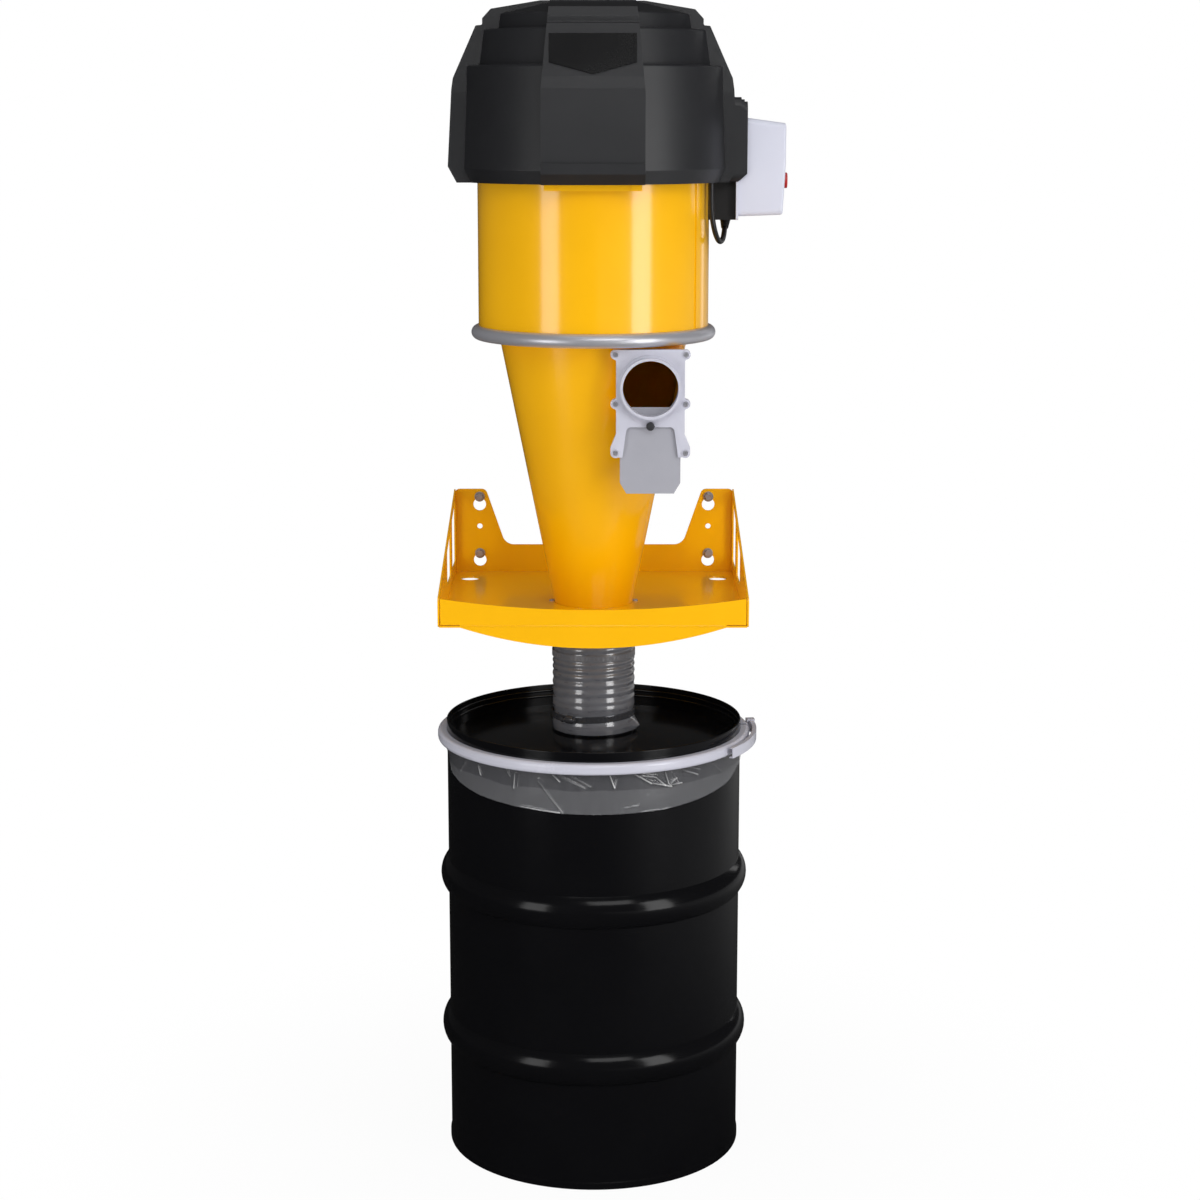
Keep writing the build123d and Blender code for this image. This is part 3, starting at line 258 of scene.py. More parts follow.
MOTTLED = {
    # name: dark and light colour, roughness, scale and depth of the grain, the shader's constants
    "yellow_paint": (
        (0.93, 0.46, 0.0), (1.0, 0.51, 0.0), 0.34, 420.0, 0.00004,
        {"Specular IOR Level": 0.1, "Coat Weight": 0.85, "Coat Roughness": 0.14, "Coat IOR": 1.65},
    ),
    "hood_plastic": (
        (0.0115, 0.0118, 0.0140), (0.0165, 0.0170, 0.0200), 0.46, 1300.0, 0.00014,
        {"Specular IOR Level": 0.6},
    ),
    "badge_plastic": ((0.003, 0.003, 0.0035), (0.005, 0.005, 0.0055), 0.26, 600.0, 0.00002),
    "black_paint": ((0.007, 0.007, 0.008), (0.010, 0.010, 0.011), 0.42, 500.0, 0.00005),
    "box_plastic": ((0.60, 0.61, 0.71), (0.66, 0.67, 0.77), 0.42, 900.0, 0.00003),
    "red_plastic": (
        (0.42, 0.015, 0.015), (0.50, 0.022, 0.020), 0.30, 700.0, 0.00002, {"Coat Weight": 0.3},
    ),
    "gland_plastic": ((0.010, 0.010, 0.011), (0.015, 0.015, 0.016), 0.40, 1200.0, 0.00005),
    "cable_rubber": ((0.008, 0.008, 0.009), (0.013, 0.013, 0.014), 0.36, 900.0, 0.00005),
    "knob_plastic": ((0.024, 0.024, 0.028), (0.034, 0.034, 0.039), 0.48, 1200.0, 0.0001),
    "ring_paint": (
        (0.54, 0.54, 0.62), (0.60, 0.60, 0.68), 0.26, 350.0, 0.00006,
        {"Coat Weight": 0.4, "Coat Roughness": 0.1},
    ),
    "drum_paint": (
        (0.0036, 0.0036, 0.0042), (0.0048, 0.0048, 0.0056), 0.16, 22.0, 0.00035,
        {"Specular IOR Level": 0.22},
    ),
}
FINISHES = {name: mottled(name, *values) for name, values in MOTTLED.items()}
print("painted and moulded finishes:", len(FINISHES))

# %% [markdown]
# ## Metal finishes
#
# Sheet that was rolled or brushed carries fine scratches along one direction. On the clamp band
# they run round the barrel, so the noise is squeezed along the height and stretched along the
# turn. Castings are the opposite: even, grey and slightly pitted. Of the hose's two clamps the
# lower one is bare dark steel, and the upper one shows dull through the vinyl; one finish tells
# them apart by their height.

# %% Scratched round the axis
SCRATCH_SHADE = 0.86
SCRATCH_GLOSS = 0.12
SCRATCH_DEPTH = 0.00004


def turn_and_height(paint):
    """The turn round the machine's axis in radians, and the height in metres."""
    where = place_on(paint)
    x, y, z = (paint.make("ShaderNodeSeparateXYZ", inputs={0: where}, output=i) for i in range(3))
    return paint.math("ARCTAN2", y - AXIS_Y, x), z


def streaks(paint, turn, height, turn_scale, rise_scale, detail, roughness=0.5):
    """Noise that is drawn out along the turn."""
    inputs = {"X": turn * turn_scale, "Z": height * rise_scale}
    return noise(paint, paint.make("ShaderNodeCombineXYZ", inputs=inputs), 1.0, detail, roughness)


def brushed(name, colour, rough, metallic, turn_scale, rise_scale):
    """Metal with scratches that run round the axis."""
    material, paint, shader = start_finish(name, {"Metallic": metallic})
    turn, height = turn_and_height(paint)
    scratch = streaks(paint, turn, height, turn_scale, rise_scale, detail=4.0, roughness=0.6)
    dark = tuple(SCRATCH_SHADE * c for c in colour)
    paint.feed(
        shader,
        {
            "Base Color": blend_colours(paint, scratch, dark, colour),
            "Roughness": rough + swing(scratch, SCRATCH_GLOSS),
            "Normal": bump(paint, scratch, SCRATCH_DEPTH),
        },
    )
    return material


FINISHES["band_steel"] = brushed("band_steel", (0.62, 0.62, 0.67), 0.36, 0.6, 14.0, 900.0)
print("scratched finish:", FINISHES["band_steel"].name)

# %% Cast and rolled metal
CLOUD_SCALE = 30.0
PIT_GLOSS = 0.15


def cast(name, dark, light, rough, metallic, pit_scale, pit_depth):
    """Grey metal with an even grain and faint pits."""
    material, paint, shader = start_finish(name, {"Metallic": metallic})
    where = place_on(paint)
    cloud = noise(paint, where, CLOUD_SCALE, detail=5.0)
    pits = noise(paint, where, pit_scale, detail=2.0)
    paint.feed(
        shader,
        {
            "Base Color": blend_colours(paint, cloud, dark, light),
            "Roughness": rough + swing(pits, PIT_GLOSS),
            "Normal": bump(paint, pits, pit_depth),
        },
    )
    return material


CAST = {
    # name: dark and light colour, roughness, metallic, scale and depth of the pits
    "cast_aluminium": ((0.48, 0.48, 0.555), (0.61, 0.61, 0.695), 0.44, 0.0, 600.0, 0.0003),
    "blade_steel": ((0.34, 0.34, 0.385), (0.39, 0.39, 0.43), 0.42, 0.0, 250.0, 0.00004),
    "screw_steel": ((0.34, 0.34, 0.37), (0.50, 0.50, 0.54), 0.30, 0.45, 900.0, 0.00005),
}
FINISHES |= {name: cast(name, *values) for name, values in CAST.items()}
print("cast and rolled finishes:", len(CAST))

# %% The finish of the hose's clamps
UNDER_VINYL_Z = -0.200
VEILED_ROUGHNESS = 0.34
BARE_POLISH = 0.16
BARE_METALLIC = 0.4
CLAMP_GLOSS = 0.10
CLAMP_SCRATCH_DEPTH = 0.00003


def two_clamps():
    """Dark bare steel low down; dull grey above, where the clamp lies under the hose's vinyl."""
    material, paint, shader = start_finish("clamp_steel")
    turn, height = turn_and_height(paint)
    scratch = streaks(paint, turn, height, 8.0, 500.0, detail=4.0, roughness=0.6)
    bare = paint.math("LESS_THAN", height, UNDER_VINYL_Z)
    steel = blend_colours(paint, scratch, (0.05, 0.051, 0.057), (0.09, 0.091, 0.10))
    veiled = blend_colours(paint, scratch, (0.125, 0.126, 0.138), (0.16, 0.161, 0.175))
    paint.feed(
        shader,
        {
            "Base Color": blend_colours(paint, bare, veiled, steel),
            "Metallic": BARE_METALLIC * bare,
            "Roughness": VEILED_ROUGHNESS + swing(scratch, CLAMP_GLOSS) - BARE_POLISH * bare,
            "Normal": bump(paint, scratch, CLAMP_SCRATCH_DEPTH),
        },
    )
    return material


FINISHES["clamp_steel"] = two_clamps()
print("finishes so far:", len(FINISHES))

# %% [markdown]
# ## Clear plastics
#
# The hose and the drum's liner are clear, but on a dark machine they read as grey: one sees a
# little of what is behind and a lot of soft reflection. A shader with an alpha below one does
# this cheaply, and it survives an export, which true refraction doesn't. Close under the ring the
# film is doubled over a darker hem. Its edge wanders a little, so the height is bent by noise
# before it is compared. Where the film is creased, a white highlight is painted into its colour
# and the film is made more opaque there, from numbers that the mesh itself carries.

# %% Clear plastics
HEM_DEPTH = 0.033
HEM_FOOT_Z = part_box("bag_cuff")[1].z - HEM_DEPTH
HEM_WANDER, HEM_WANDER_SCALE = 0.016, 2.2
HEM_SHARPNESS = 700.0
# Roughness and alpha without haze, crease, hem or painted gleam, and what each of them adds.
# The painted gleam is a white highlight put into the film's colour.
VINYL_ROUGHNESS, HAZE_ROUGHNESS = 0.22, 0.14
VINYL_ALPHA, HAZE_ALPHA = 0.86, 0.12
FILM_ROUGHNESS, CREASE_ROUGHNESS = 0.22, 0.16
FILM_ALPHA, CREASE_ALPHA, HEM_ALPHA, PAINTED_GLEAM_ALPHA = 0.30, 0.10, 0.05, 0.55
CREASE_DEPTH = 0.0005


def clear_vinyl():
    """Grey see-through vinyl, streaked along its moulded ribs."""
    material, paint, shader = start_finish(
        "hose_vinyl", {"Coat Weight": 1.0, "Coat Roughness": 0.12, "Coat IOR": 1.85}
    )
    turn, height = turn_and_height(paint)
    haze = streaks(paint, turn, height, 2.5, 110.0, detail=2.0)
    paint.feed(
        shader,
        {
            "Base Color": blend_colours(paint, haze, (0.13, 0.131, 0.145), (0.20, 0.203, 0.222)),
            "Roughness": VINYL_ROUGHNESS + HAZE_ROUGHNESS * haze,
            "Alpha": VINYL_ALPHA + HAZE_ALPHA * haze,
        },
    )
    return material


def liner_film():
    """Thin clear film: hazy grey, with fine creases that run down it, a darker hem on top, and white
    highlights painted along the creases.
    """
    material, paint, shader = start_finish(
        "film", {"Coat Weight": 1.0, "Coat Roughness": 0.03, "Coat IOR": 1.7}
    )
    turn, height = turn_and_height(paint)
    crease = streaks(paint, turn, height, 30.0, 14.0, detail=6.0, roughness=0.65)
    turn_alone = paint.make("ShaderNodeCombineXYZ", inputs={"X": turn})
    wander = noise(paint, turn_alone, HEM_WANDER_SCALE, detail=1.0)
    rise = (height - HEM_FOOT_Z + swing(wander, HEM_WANDER)) * HEM_SHARPNESS
    hem = paint.make("ShaderNodeMath", {"operation": "ADD", "use_clamp": True}, {0: rise, 1: 0.5})
    single = blend_colours(paint, crease, (0.27, 0.272, 0.288), (0.37, 0.373, 0.395))
    doubled = blend_colours(paint, crease, (0.13, 0.131, 0.142), (0.24, 0.242, 0.262))
    layers = blend_colours(paint, hem, single, doubled)
    # The mesh's painted_gleam marks where a white highlight is painted along the creases.
    painted_gleam = paint.make("ShaderNodeAttribute", {"attribute_name": "painted_gleam"}, output="Fac")
    paint.feed(
        shader,
        {
            # Painted highlight: the colour goes to white along the creases, and the alpha rises there
            # too.
            "Base Color": blend_colours(paint, painted_gleam, layers, (1.0, 1.0, 1.0)),
            "Roughness": FILM_ROUGHNESS + CREASE_ROUGHNESS * crease,
            "Alpha": FILM_ALPHA + CREASE_ALPHA * crease + HEM_ALPHA * hem + PAINTED_GLEAM_ALPHA * painted_gleam,
            "Normal": bump(paint, crease, CREASE_DEPTH),
        },
    )
    return material


FINISHES["hose_vinyl"] = clear_vinyl()
FINISHES["film"] = liner_film()
print("finishes in all:", len(FINISHES))

# %% [markdown]
# ## Give every CAD piece its finish
#
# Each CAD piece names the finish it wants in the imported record. One loop hands them out, so no
# piece can be forgotten. The cable is a curve, whose box is only measured afresh when its object is
# set in place, so it is set there once more after it gets its finish.

# %% Dress the CAD pieces
for subpart in frame["record"]["subparts"]:
    mesh = nodes[subpart["node"]].data
    mesh.materials.clear()
    mesh.materials.append(FINISHES[subpart["material_slot"]])
cable_curve.materials.append(FINISHES["cable_rubber"])
bpy.context.view_layer.update()
cable_loop.location = (0, 0, 0)

# %% [markdown]
# ## Soften the edges
#
# Nothing moulded, cast or folded has a perfectly sharp edge. A bevel of a millimetre or two on the
# hood and less on the sheet metal gives every edge the thin line of light that it has in life. A
# modifier does this without touching the CAD mesh.

# %% Soften edges
EDGE_WIDTHS = {
    "motor_hood": 0.0022, "hood_badge_plate": 0.0008, "electric_box": 0.0010, "box_cover": 0.0010,
    "box_back_plate": 0.0008, "gate_body": 0.0007, "gate_blade": 0.0005, "ring_lever": 0.0008,
    "bracket_front_lip": 0.0008, "bracket_front_skirt": 0.0008, "bracket_shelf": 0.0008,
    "bracket_left_side": 0.0008, "bracket_right_side": 0.0008, "bracket_back_plate": 0.0008,
}
SHARP_EDGE_DEGREES = 30
for name, width in EDGE_WIDTHS.items():
    soft_edge = nodes[name].modifiers.new("soft_edge", "BEVEL")
    soft_edge.width = width
    soft_edge.segments = 2
    soft_edge.limit_method = "ANGLE"
    soft_edge.angle_limit = radians(SHARP_EDGE_DEGREES)
    soft_edge.harden_normals = True
print("softened:", len(EDGE_WIDTHS))

# %% [markdown]
# ## Building meshes
#
# Round things are turned: a profile is swept round an axis. Small fittings come from a few
# rings of points joined into a skin. Three helpers do all of it, and a fourth hands the mesh its
# finish, its smooth shading and the body that it rides on.

# %% Mesh helpers
FLUTE_DEPTH = 0.04


def add_piece(name, points, faces, slot, sharp, body="root"):
    """A new piece from points and faces, smooth but for edges sharper than an angle."""
    mesh = bpy.data.meshes.new(name)
    mesh.from_pydata(points, [], faces)
    mesh.validate()
    mesh.materials.append(FINISHES[slot])
    mesh.polygons.foreach_set("use_smooth", [True] * len(mesh.polygons))
    mesh.set_sharp_from_angle(angle=radians(sharp))
    piece = bpy.data.objects.new(name, mesh)
    bpy.context.scene.collection.objects.link(piece)
    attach(piece, body)
    return piece


def skin(rings, capped=False):
    """Points and faces of a skin over closed rings with the same count, capped if asked."""
    count = len(rings[0])
    points = [point for ring in rings for point in ring]
    faces = []
    for row in range(len(rings) - 1):
        for i in range(count):
            a = row * count + i
            b = row * count + (i + 1) % count
            faces.append((a, b, b + count, a + count))
    if capped:
        faces.append(tuple(reversed(range(count))))
        faces.append(tuple(range(len(points) - count, len(points))))
    return points, faces


def turned(profile, centre, along, count, corners=None, flutes=None):
    """Rings round an axis through a centre: profile gives (radius, distance along).

    Corners make the rings polygons, as on a bolt's head; flutes cut shallow grooves in them."""
    along = Vector(along).normalized()
    side = along.orthogonal().normalized()
    up = along.cross(side)
    rings = []
    for radius, distance in profile:
        ring = []
        for i in range(count):
            angle = 2 * pi * i / count
            reach = radius
            if corners:
                sector = 2 * pi / corners
                reach = radius * cos(sector / 2) / cos(angle % sector - sector / 2)
            if flutes:
                reach = radius * (1 - FLUTE_DEPTH + FLUTE_DEPTH * cos(flutes * angle))
            outward = side * cos(angle) + up * sin(angle)
            ring.append(Vector(centre) + along * distance + outward * reach)
        rings.append(ring)
    return rings


def join_skins(*skins):
    """One list of points and faces from several."""
    points, faces = [], []
    for more_points, more_faces in skins:
        start = len(points)
        points += [tuple(point) for point in more_points]
        faces += [tuple(start + i for i in face) for face in more_faces]
    return points, faces


print("mesh helpers ready")

# %% [markdown]
# ## The hose
#
# The hose is a spiral: one wire wound inside a vinyl skin that bulges between its turns. A grid
# that follows the turn and the height gets its radius from a rounded wave whose phase climbs
# with the turn, so the ribs lean as they do on a real spiral. The turns lie close together at
# the top and are pulled apart below. The lowest part is drawn in under its clamp before the cuff
# opens on the lid, and one fold of the cuff sticks out on the right.

# %% Shape the hose
HOSE_INNER = 0.0765
RIB_HEIGHTS = [
    -0.030, -0.046, -0.061, -0.076, -0.091, -0.106, -0.121, -0.137, -0.1505, -0.1630,
    -0.1760, -0.1930, -0.2100, -0.2280, -0.2450, -0.2600, -0.2750, -0.2900,
]
RIB_COUNTS = [(height, count) for count, height in enumerate(RIB_HEIGHTS)]
RIB_START = 0.75
RIB_FULLNESS = 0.8
HOSE_SHAPE = [
    # height, radius of the grooves, rise of the ribs
    (-0.040, 0.0782, 0.0017),
    (-0.125, 0.0780, 0.0022),
    (-0.137, 0.0786, 0.0010),
    (-0.149, 0.0780, 0.0021),
    (-0.180, 0.0781, 0.0021),
    (-0.200, 0.0788, 0.0014),
    (-0.226, 0.0792, 0.0010),
    (-0.233, 0.0801, 0.0003),
    (-0.239, 0.0803, 0.0001),
    (-0.247, 0.0789, 0.0000),
    (-0.251, 0.0778, 0.0000),
    (-0.262, 0.0778, 0.0000),
    (-0.266, 0.0794, 0.0000),
    (-0.2715, 0.0805, 0.0000),
    (-0.279, 0.0808, 0.0000),
    (-0.290, 0.0790, 0.0000),
]
# The turns near LEAN_Z hang askew: raised on one side and lowered on the other.
LEAN_RISE, LEAN_TURN, LEAN_Z, LEAN_SPREAD = 0.0045, 0.4, -0.225, 0.05
# The fold points to a turn and grows down the cuff.
FOLD_REACH, FOLD_TURN, FOLD_SPREAD = 0.011, -0.2, 0.035
FOLD_SHAPE = [(-0.264, 0.0), (-0.282, 1.0), (-0.290, 0.5)]


def between(table, height):
    """Values of a table at a height, straight between its rows."""
    for upper, lower in zip(table, table[1:]):
        if height >= lower[0]:
            share = (upper[0] - height) / (upper[0] - lower[0])
            share = min(max(share, 0.0), 1.0)
            return [u + (l - u) * share for u, l in zip(upper[1:], lower[1:])]
    return list(table[-1][1:])


def hose_radius(turn, height):
    """Outer radius of the hose at a turn and a height."""
    groove, rise = between(HOSE_SHAPE, height)
    lean = LEAN_RISE * sin(turn + LEAN_TURN) * exp(-((height - LEAN_Z) / LEAN_SPREAD) ** 2)
    (count,) = between(RIB_COUNTS, height + lean)
    wave = 0.5 + 0.5 * cos(2 * pi * (count + turn / (2 * pi) - RIB_START))
    (fold,) = between(FOLD_SHAPE, height)
    fold *= FOLD_REACH * exp((cos(turn - FOLD_TURN) - 1) / FOLD_SPREAD)
    return groove + rise * wave ** RIB_FULLNESS + fold


print("hose ribs:", len(RIB_HEIGHTS))

# %% Wind the hose
TURN_STEPS = 144
RISE_STEPS = 240


def on_circle(radius, turn, height):
    """A point at a radius from the machine's axis and a turn round it."""
    return radius * cos(turn), AXIS_Y + radius * sin(turn), height


hose_low, hose_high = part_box("hose")
hose_turns = [2 * pi * i / TURN_STEPS for i in range(TURN_STEPS)]
hose_rings = []
for row in range(RISE_STEPS + 1):
    z = hose_high.z + (hose_low.z - hose_high.z) * row / RISE_STEPS
    hose_rings.append([on_circle(hose_radius(turn, z), turn, z) for turn in hose_turns])
for z in (hose_low.z, hose_high.z):
    hose_rings.append([on_circle(HOSE_INNER, turn, z) for turn in hose_turns])
hose_rings.append(hose_rings[0])
hose_skin = add_piece("hose_skin", *skin(hose_rings), "hose_vinyl", sharp=60)
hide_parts("hose")
print("hose faces:", len(hose_skin.data.polygons))

# %% [markdown]
# ## The hose's clamps
#
# A worm-drive clamp is a steel strap with a row of slots that a screw's thread climbs. The strap
# is a grid round the hose whose slots are pressed in, the screw is a turned thread with a hexagon
# head, and the housing is an arch bent over it. The lower one sits a little askew, as it was
# tightened by hand.

# %% The strap
CLAMP_RADIUS = 0.0802
STRAP_WIDTH = 0.0127
STRAP_THICKNESS = 0.0008
STRAP_SLOTS = 56
SLOT_STEPS = 4
STRAP_SEAT_SHARE = 0.75
SLOT_DEPTH_SHARE = 0.75
STRAP_LEVELS = [
    # share of the width, share of the thickness outward, whether the slots are pressed in here
    (-0.50, -1.0, False), (-0.50, 0.0, False), (-0.46, 0.25, False), (-0.28, 0.25, False),
    (-0.25, 0.25, True), (0.25, 0.25, True), (0.28, 0.25, False), (0.46, 0.25, False),
    (0.50, 0.0, False), (0.50, -1.0, False),
]


def strap():
    """A strap round the axis with a row of slots pressed into it."""
    steps = SLOT_STEPS * STRAP_SLOTS
    rings = []
    for level, out, pressed in STRAP_LEVELS:
        ring = []
        for i in range(steps):
            depth = SLOT_DEPTH_SHARE * STRAP_THICKNESS if pressed and i % SLOT_STEPS in (1, 2) else 0.0
            radius = CLAMP_RADIUS + STRAP_THICKNESS * (STRAP_SEAT_SHARE + out) - depth
            ring.append(on_circle(radius, 2 * pi * i / steps, level * STRAP_WIDTH))
        rings.append(ring)
    rings.append(rings[0])
    return skin(rings)


print("strap slots:", STRAP_SLOTS)

# %% The screw and its housing
THREAD_START = -0.0125
THREAD_PITCH = 0.0021
THREAD_STEPS = 13
THREAD_REACHES = (0.0034, 0.0041)  # its valleys and its crests
WORM_THREAD = [
    (0.0, THREAD_START),
    *(
        (THREAD_REACHES[step % 2], THREAD_START + THREAD_PITCH * step)
        for step in range(THREAD_STEPS)
    ),
    (0.0028, 0.0145), (0.0, 0.0145),
]
WORM_HEAD = [
    (0.0, -0.0185), (0.0040, -0.0185), (0.0052, -0.0178), (0.0052, -0.0130), (0.0, -0.0130),
]
WORM_OUT = 0.0048  # from the strap to the screw's axis
# Places along the screw, with the share of the housing's full size there.
HOUSING_ENDS = [(-0.0075, 0.94), (-0.0070, 1.0), (0.0085, 1.0), (0.0095, 0.94)]
HOUSING_FOOT = 0.0036
HOUSING_RISE = 0.0054
HOUSING_HALF = 0.0076
HOUSING_STEPS = 24


def housing():
    """The arch that is bent over the screw, a little drawn in at both ends."""
    rings = []
    for x, swell in HOUSING_ENDS:
        half = HOUSING_HALF * swell
        ring = []
        for i in range(HOUSING_STEPS + 1):
            angle = pi * i / HOUSING_STEPS
            ring.append((x, HOUSING_FOOT + HOUSING_RISE * swell * sin(angle), half * cos(angle)))
        rings.append(ring + [(x, 0.0, -half), (x, 0.0, half)])
    return skin(rings, capped=True)


print("thread points:", len(WORM_THREAD))

# %% Put the clamps together
CLAMPS = {
    # piece: the node it stands for, turn of its screw and tilt in degrees
    "upper_clamp": ("hose_clamp_top", 110, 0),
    "lower_clamp": ("hose_clamp_bottom", 236, -2),
}


def at_strap(turn):
    """A frame on the strap: its columns point along the turn, outward and up."""
    outward = Vector((cos(turn), sin(turn), 0))
    along = Vector((-sin(turn), cos(turn), 0))
    place = Matrix((along, outward, (0, 0, 1))).transposed().to_4x4()
    place.translation = Vector((0, AXIS_Y, 0)) + outward * CLAMP_RADIUS
    return place


def worm_clamp(name, node, turn, tilt):
    """Strap, screw and housing of one clamp, standing for its CAD piece."""
    screw = skin(turned(WORM_THREAD, (0, WORM_OUT, 0), (1, 0, 0), count=24))
    head = skin(turned(WORM_HEAD, (0, WORM_OUT, 0), (1, 0, 0), count=36, corners=6))
    fitting_points, fitting_faces = join_skins(screw, head, housing())
    place = at_strap(turn)
    fittings = ([place @ Vector(point) for point in fitting_points], fitting_faces)
    points, faces = join_skins(strap(), fittings)
    low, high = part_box(node)
    to_axis = Matrix.Translation((0, -AXIS_Y, 0))
    to_place = Matrix.Translation((0, AXIS_Y, (low.z + high.z) / 2))
    lean = to_place @ Matrix.Rotation(tilt, 4, "Y") @ to_axis
    points = [lean @ Vector(point) for point in points]
    clamp = add_piece(name, points, faces, "clamp_steel", sharp=30)
    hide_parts(node)
    return clamp


for name, (node, turn, tilt) in CLAMPS.items():
    clamp = worm_clamp(name, node, radians(turn), radians(tilt))
    print(name, "faces:", len(clamp.data.polygons))

# %% [markdown]
# ## The liner's film
#
# The bag inside the drum is folded out over the rim and caught by the closing ring, so its hem
# hangs below the ring all round, deepest at the front. It is a single thin sheet. Its lower edge
# follows a table, and its creases are short ridges that were drawn where the film is
# pinched. Each ridge lifts the sheet by a few millimetres, which is enough to catch the lamps,
# and a white highlight is painted along it as well.

# %% The film's edge and creases
film_low, film_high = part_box("bag_cuff")
FILM_GAP = 0.0004
FILM_RADIUS = (film_high.x - film_low.x) / 2 - FILM_GAP
FILM_EDGE = [
    # turn from the front in degrees, drop of the lower edge in metres
    (-180, 0.052), (-150, 0.044), (-118, 0.036), (-96, 0.030), (-83, 0.020), (-76, 0.017),
    (-71, 0.046), (-62, 0.058), (-49, 0.066), (-40, 0.069), (-29, 0.073), (-20, 0.0745),
    (-13, 0.0775), (0, 0.0780), (14, 0.0775), (28, 0.0765), (43, 0.070), (53, 0.064),
    (63, 0.057), (74, 0.040), (88, 0.030), (110, 0.038), (140, 0.046), (180, 0.052),
]
CREASES = [
    # turn in degrees and drop of both ends, lift, half width, strength of the painted highlight
    (-30.5, 0.010, -30.9, 0.038, 0.0016, 0.0016, 0.8),
    (-28.9, 0.014, -29.4, 0.034, 0.0010, 0.0014, 0.3),
    (-48.6, 0.010, -47.2, 0.026, 0.0018, 0.0018, 0.8),
    (-34.4, 0.002, -32.6, 0.016, 0.0012, 0.0014, 0.4),
    (-15.2, 0.003, -12.5, 0.016, 0.0020, 0.0017, 0.7),
    (-11.4, 0.008, -3.2, 0.026, 0.0018, 0.0034, 0.35),
    (-7.6, 0.005, -1.0, 0.024, 0.0014, 0.0026, 0.3),
    (6.0, 0.001, 7.8, 0.026, 0.0026, 0.0019, 1.0),
    (8.6, 0.012, 7.9, 0.027, 0.0014, 0.0016, 0.5),
    (15.2, 0.002, 21.5, 0.022, 0.0026, 0.0020, 0.8),
    (21.5, 0.022, 29.3, 0.032, 0.0030, 0.0020, 1.0),
    (17.4, 0.006, 23.6, 0.012, 0.0018, 0.0018, 0.5),
    (23.6, 0.012, 27.4, 0.029, 0.0024, 0.0020, 0.7),
    (27.4, 0.002, 29.3, 0.031, 0.0024, 0.0017, 0.7),
    (29.3, 0.031, 34.8, 0.030, 0.0024, 0.0018, 0.9),
    (28.9, 0.032, 32.6, 0.019, 0.0020, 0.0018, 0.7),
    (31.2, 0.010, 33.4, 0.028, 0.0014, 0.0016, 0.4),
    (35.4, 0.006, 42.8, 0.021, 0.0018, 0.0022, 0.5),
    (38.4, 0.003, 44.0, 0.012, 0.0016, 0.0020, 0.3),
    (-20.6, 0.018, -11.4, 0.075, 0.0014, 0.0028, 0.35),
    (51.5, 0.010, 57.5, 0.030, 0.0016, 0.0026, 0.2),
    (-57.0, 0.010, -61.0, 0.034, 0.0016, 0.0026, 0.25),
    (-28.5, 0.0705, -12.5, 0.0760, 0.0016, 0.0016, 0.8),
    (11.0, 0.0660, 17.0, 0.0625, 0.0012, 0.0015, 0.6),
    (-120.0, 0.004, -112.0, 0.030, 0.0020, 0.0040, 0.3),
    (118.0, 0.003, 126.0, 0.034, 0.0020, 0.0040, 0.3),
    (160.0, 0.004, 166.0, 0.040, 0.0018, 0.0040, 0.2),
    (-168.0, 0.004, -160.0, 0.036, 0.0018, 0.0040, 0.2),
]
CREASE_MARGIN = 2
LIFT_GAIN = 1.5
# How the painted highlight grows along a crease, and how narrow it is across it.
PAINTED_GLEAM_START_SHARE = 0.35
PAINTED_GLEAM_FOCUS = 2.5


def edge_drop(turn):
    """Drop of the film's lower edge, straight between the table's rows."""
    for (turn_a, drop_a), (turn_b, drop_b) in zip(FILM_EDGE, FILM_EDGE[1:]):
        if turn <= turn_b:
            return drop_a + (drop_b - drop_a) * (turn - turn_a) / (turn_b - turn_a)
    return FILM_EDGE[-1][1]


def crease_at(turn, drop):
    """How far the creases lift the film from the drum here, and how strong their painted highlight is.
    """
    metres_a_degree = radians(1) * FILM_RADIUS
    total, painted_shine = 0.0, 0.0
    for turn_a, drop_a, turn_b, drop_b, lift, half_width, painted_gleam in CREASES:
        if not min(turn_a, turn_b) - CREASE_MARGIN <= turn <= max(turn_a, turn_b) + CREASE_MARGIN:
            continue
        run, fall = (turn_b - turn_a) * metres_a_degree, drop_b - drop_a
        x, y = (turn - turn_a) * metres_a_degree, drop - drop_a
        share = min(max((x * run + y * fall) / (run * run + fall * fall), 0.0), 1.0)
        away = hypot(x - share * run, y - share * fall) / half_width
        total += lift * exp(-away * away)
        strength = PAINTED_GLEAM_START_SHARE + (1 - PAINTED_GLEAM_START_SHARE) * share
        painted_shine += painted_gleam * strength * exp(-PAINTED_GLEAM_FOCUS * away * away)
    return LIFT_GAIN * total, min(painted_shine, 1.0)


print("creases:", len(CREASES))

# %% Hang the film
# Degrees of turn. The front has finer steps, because most creases are there.
FRONT_HALF, FRONT_STEP, BACK_STEP = 70, 0.16, 1.25
DROP_STEPS = 44
SLACK, SLACK_WAVES, SLACK_TWIST = 0.0006, 7, 90
EDGE_CURL = 0.0009

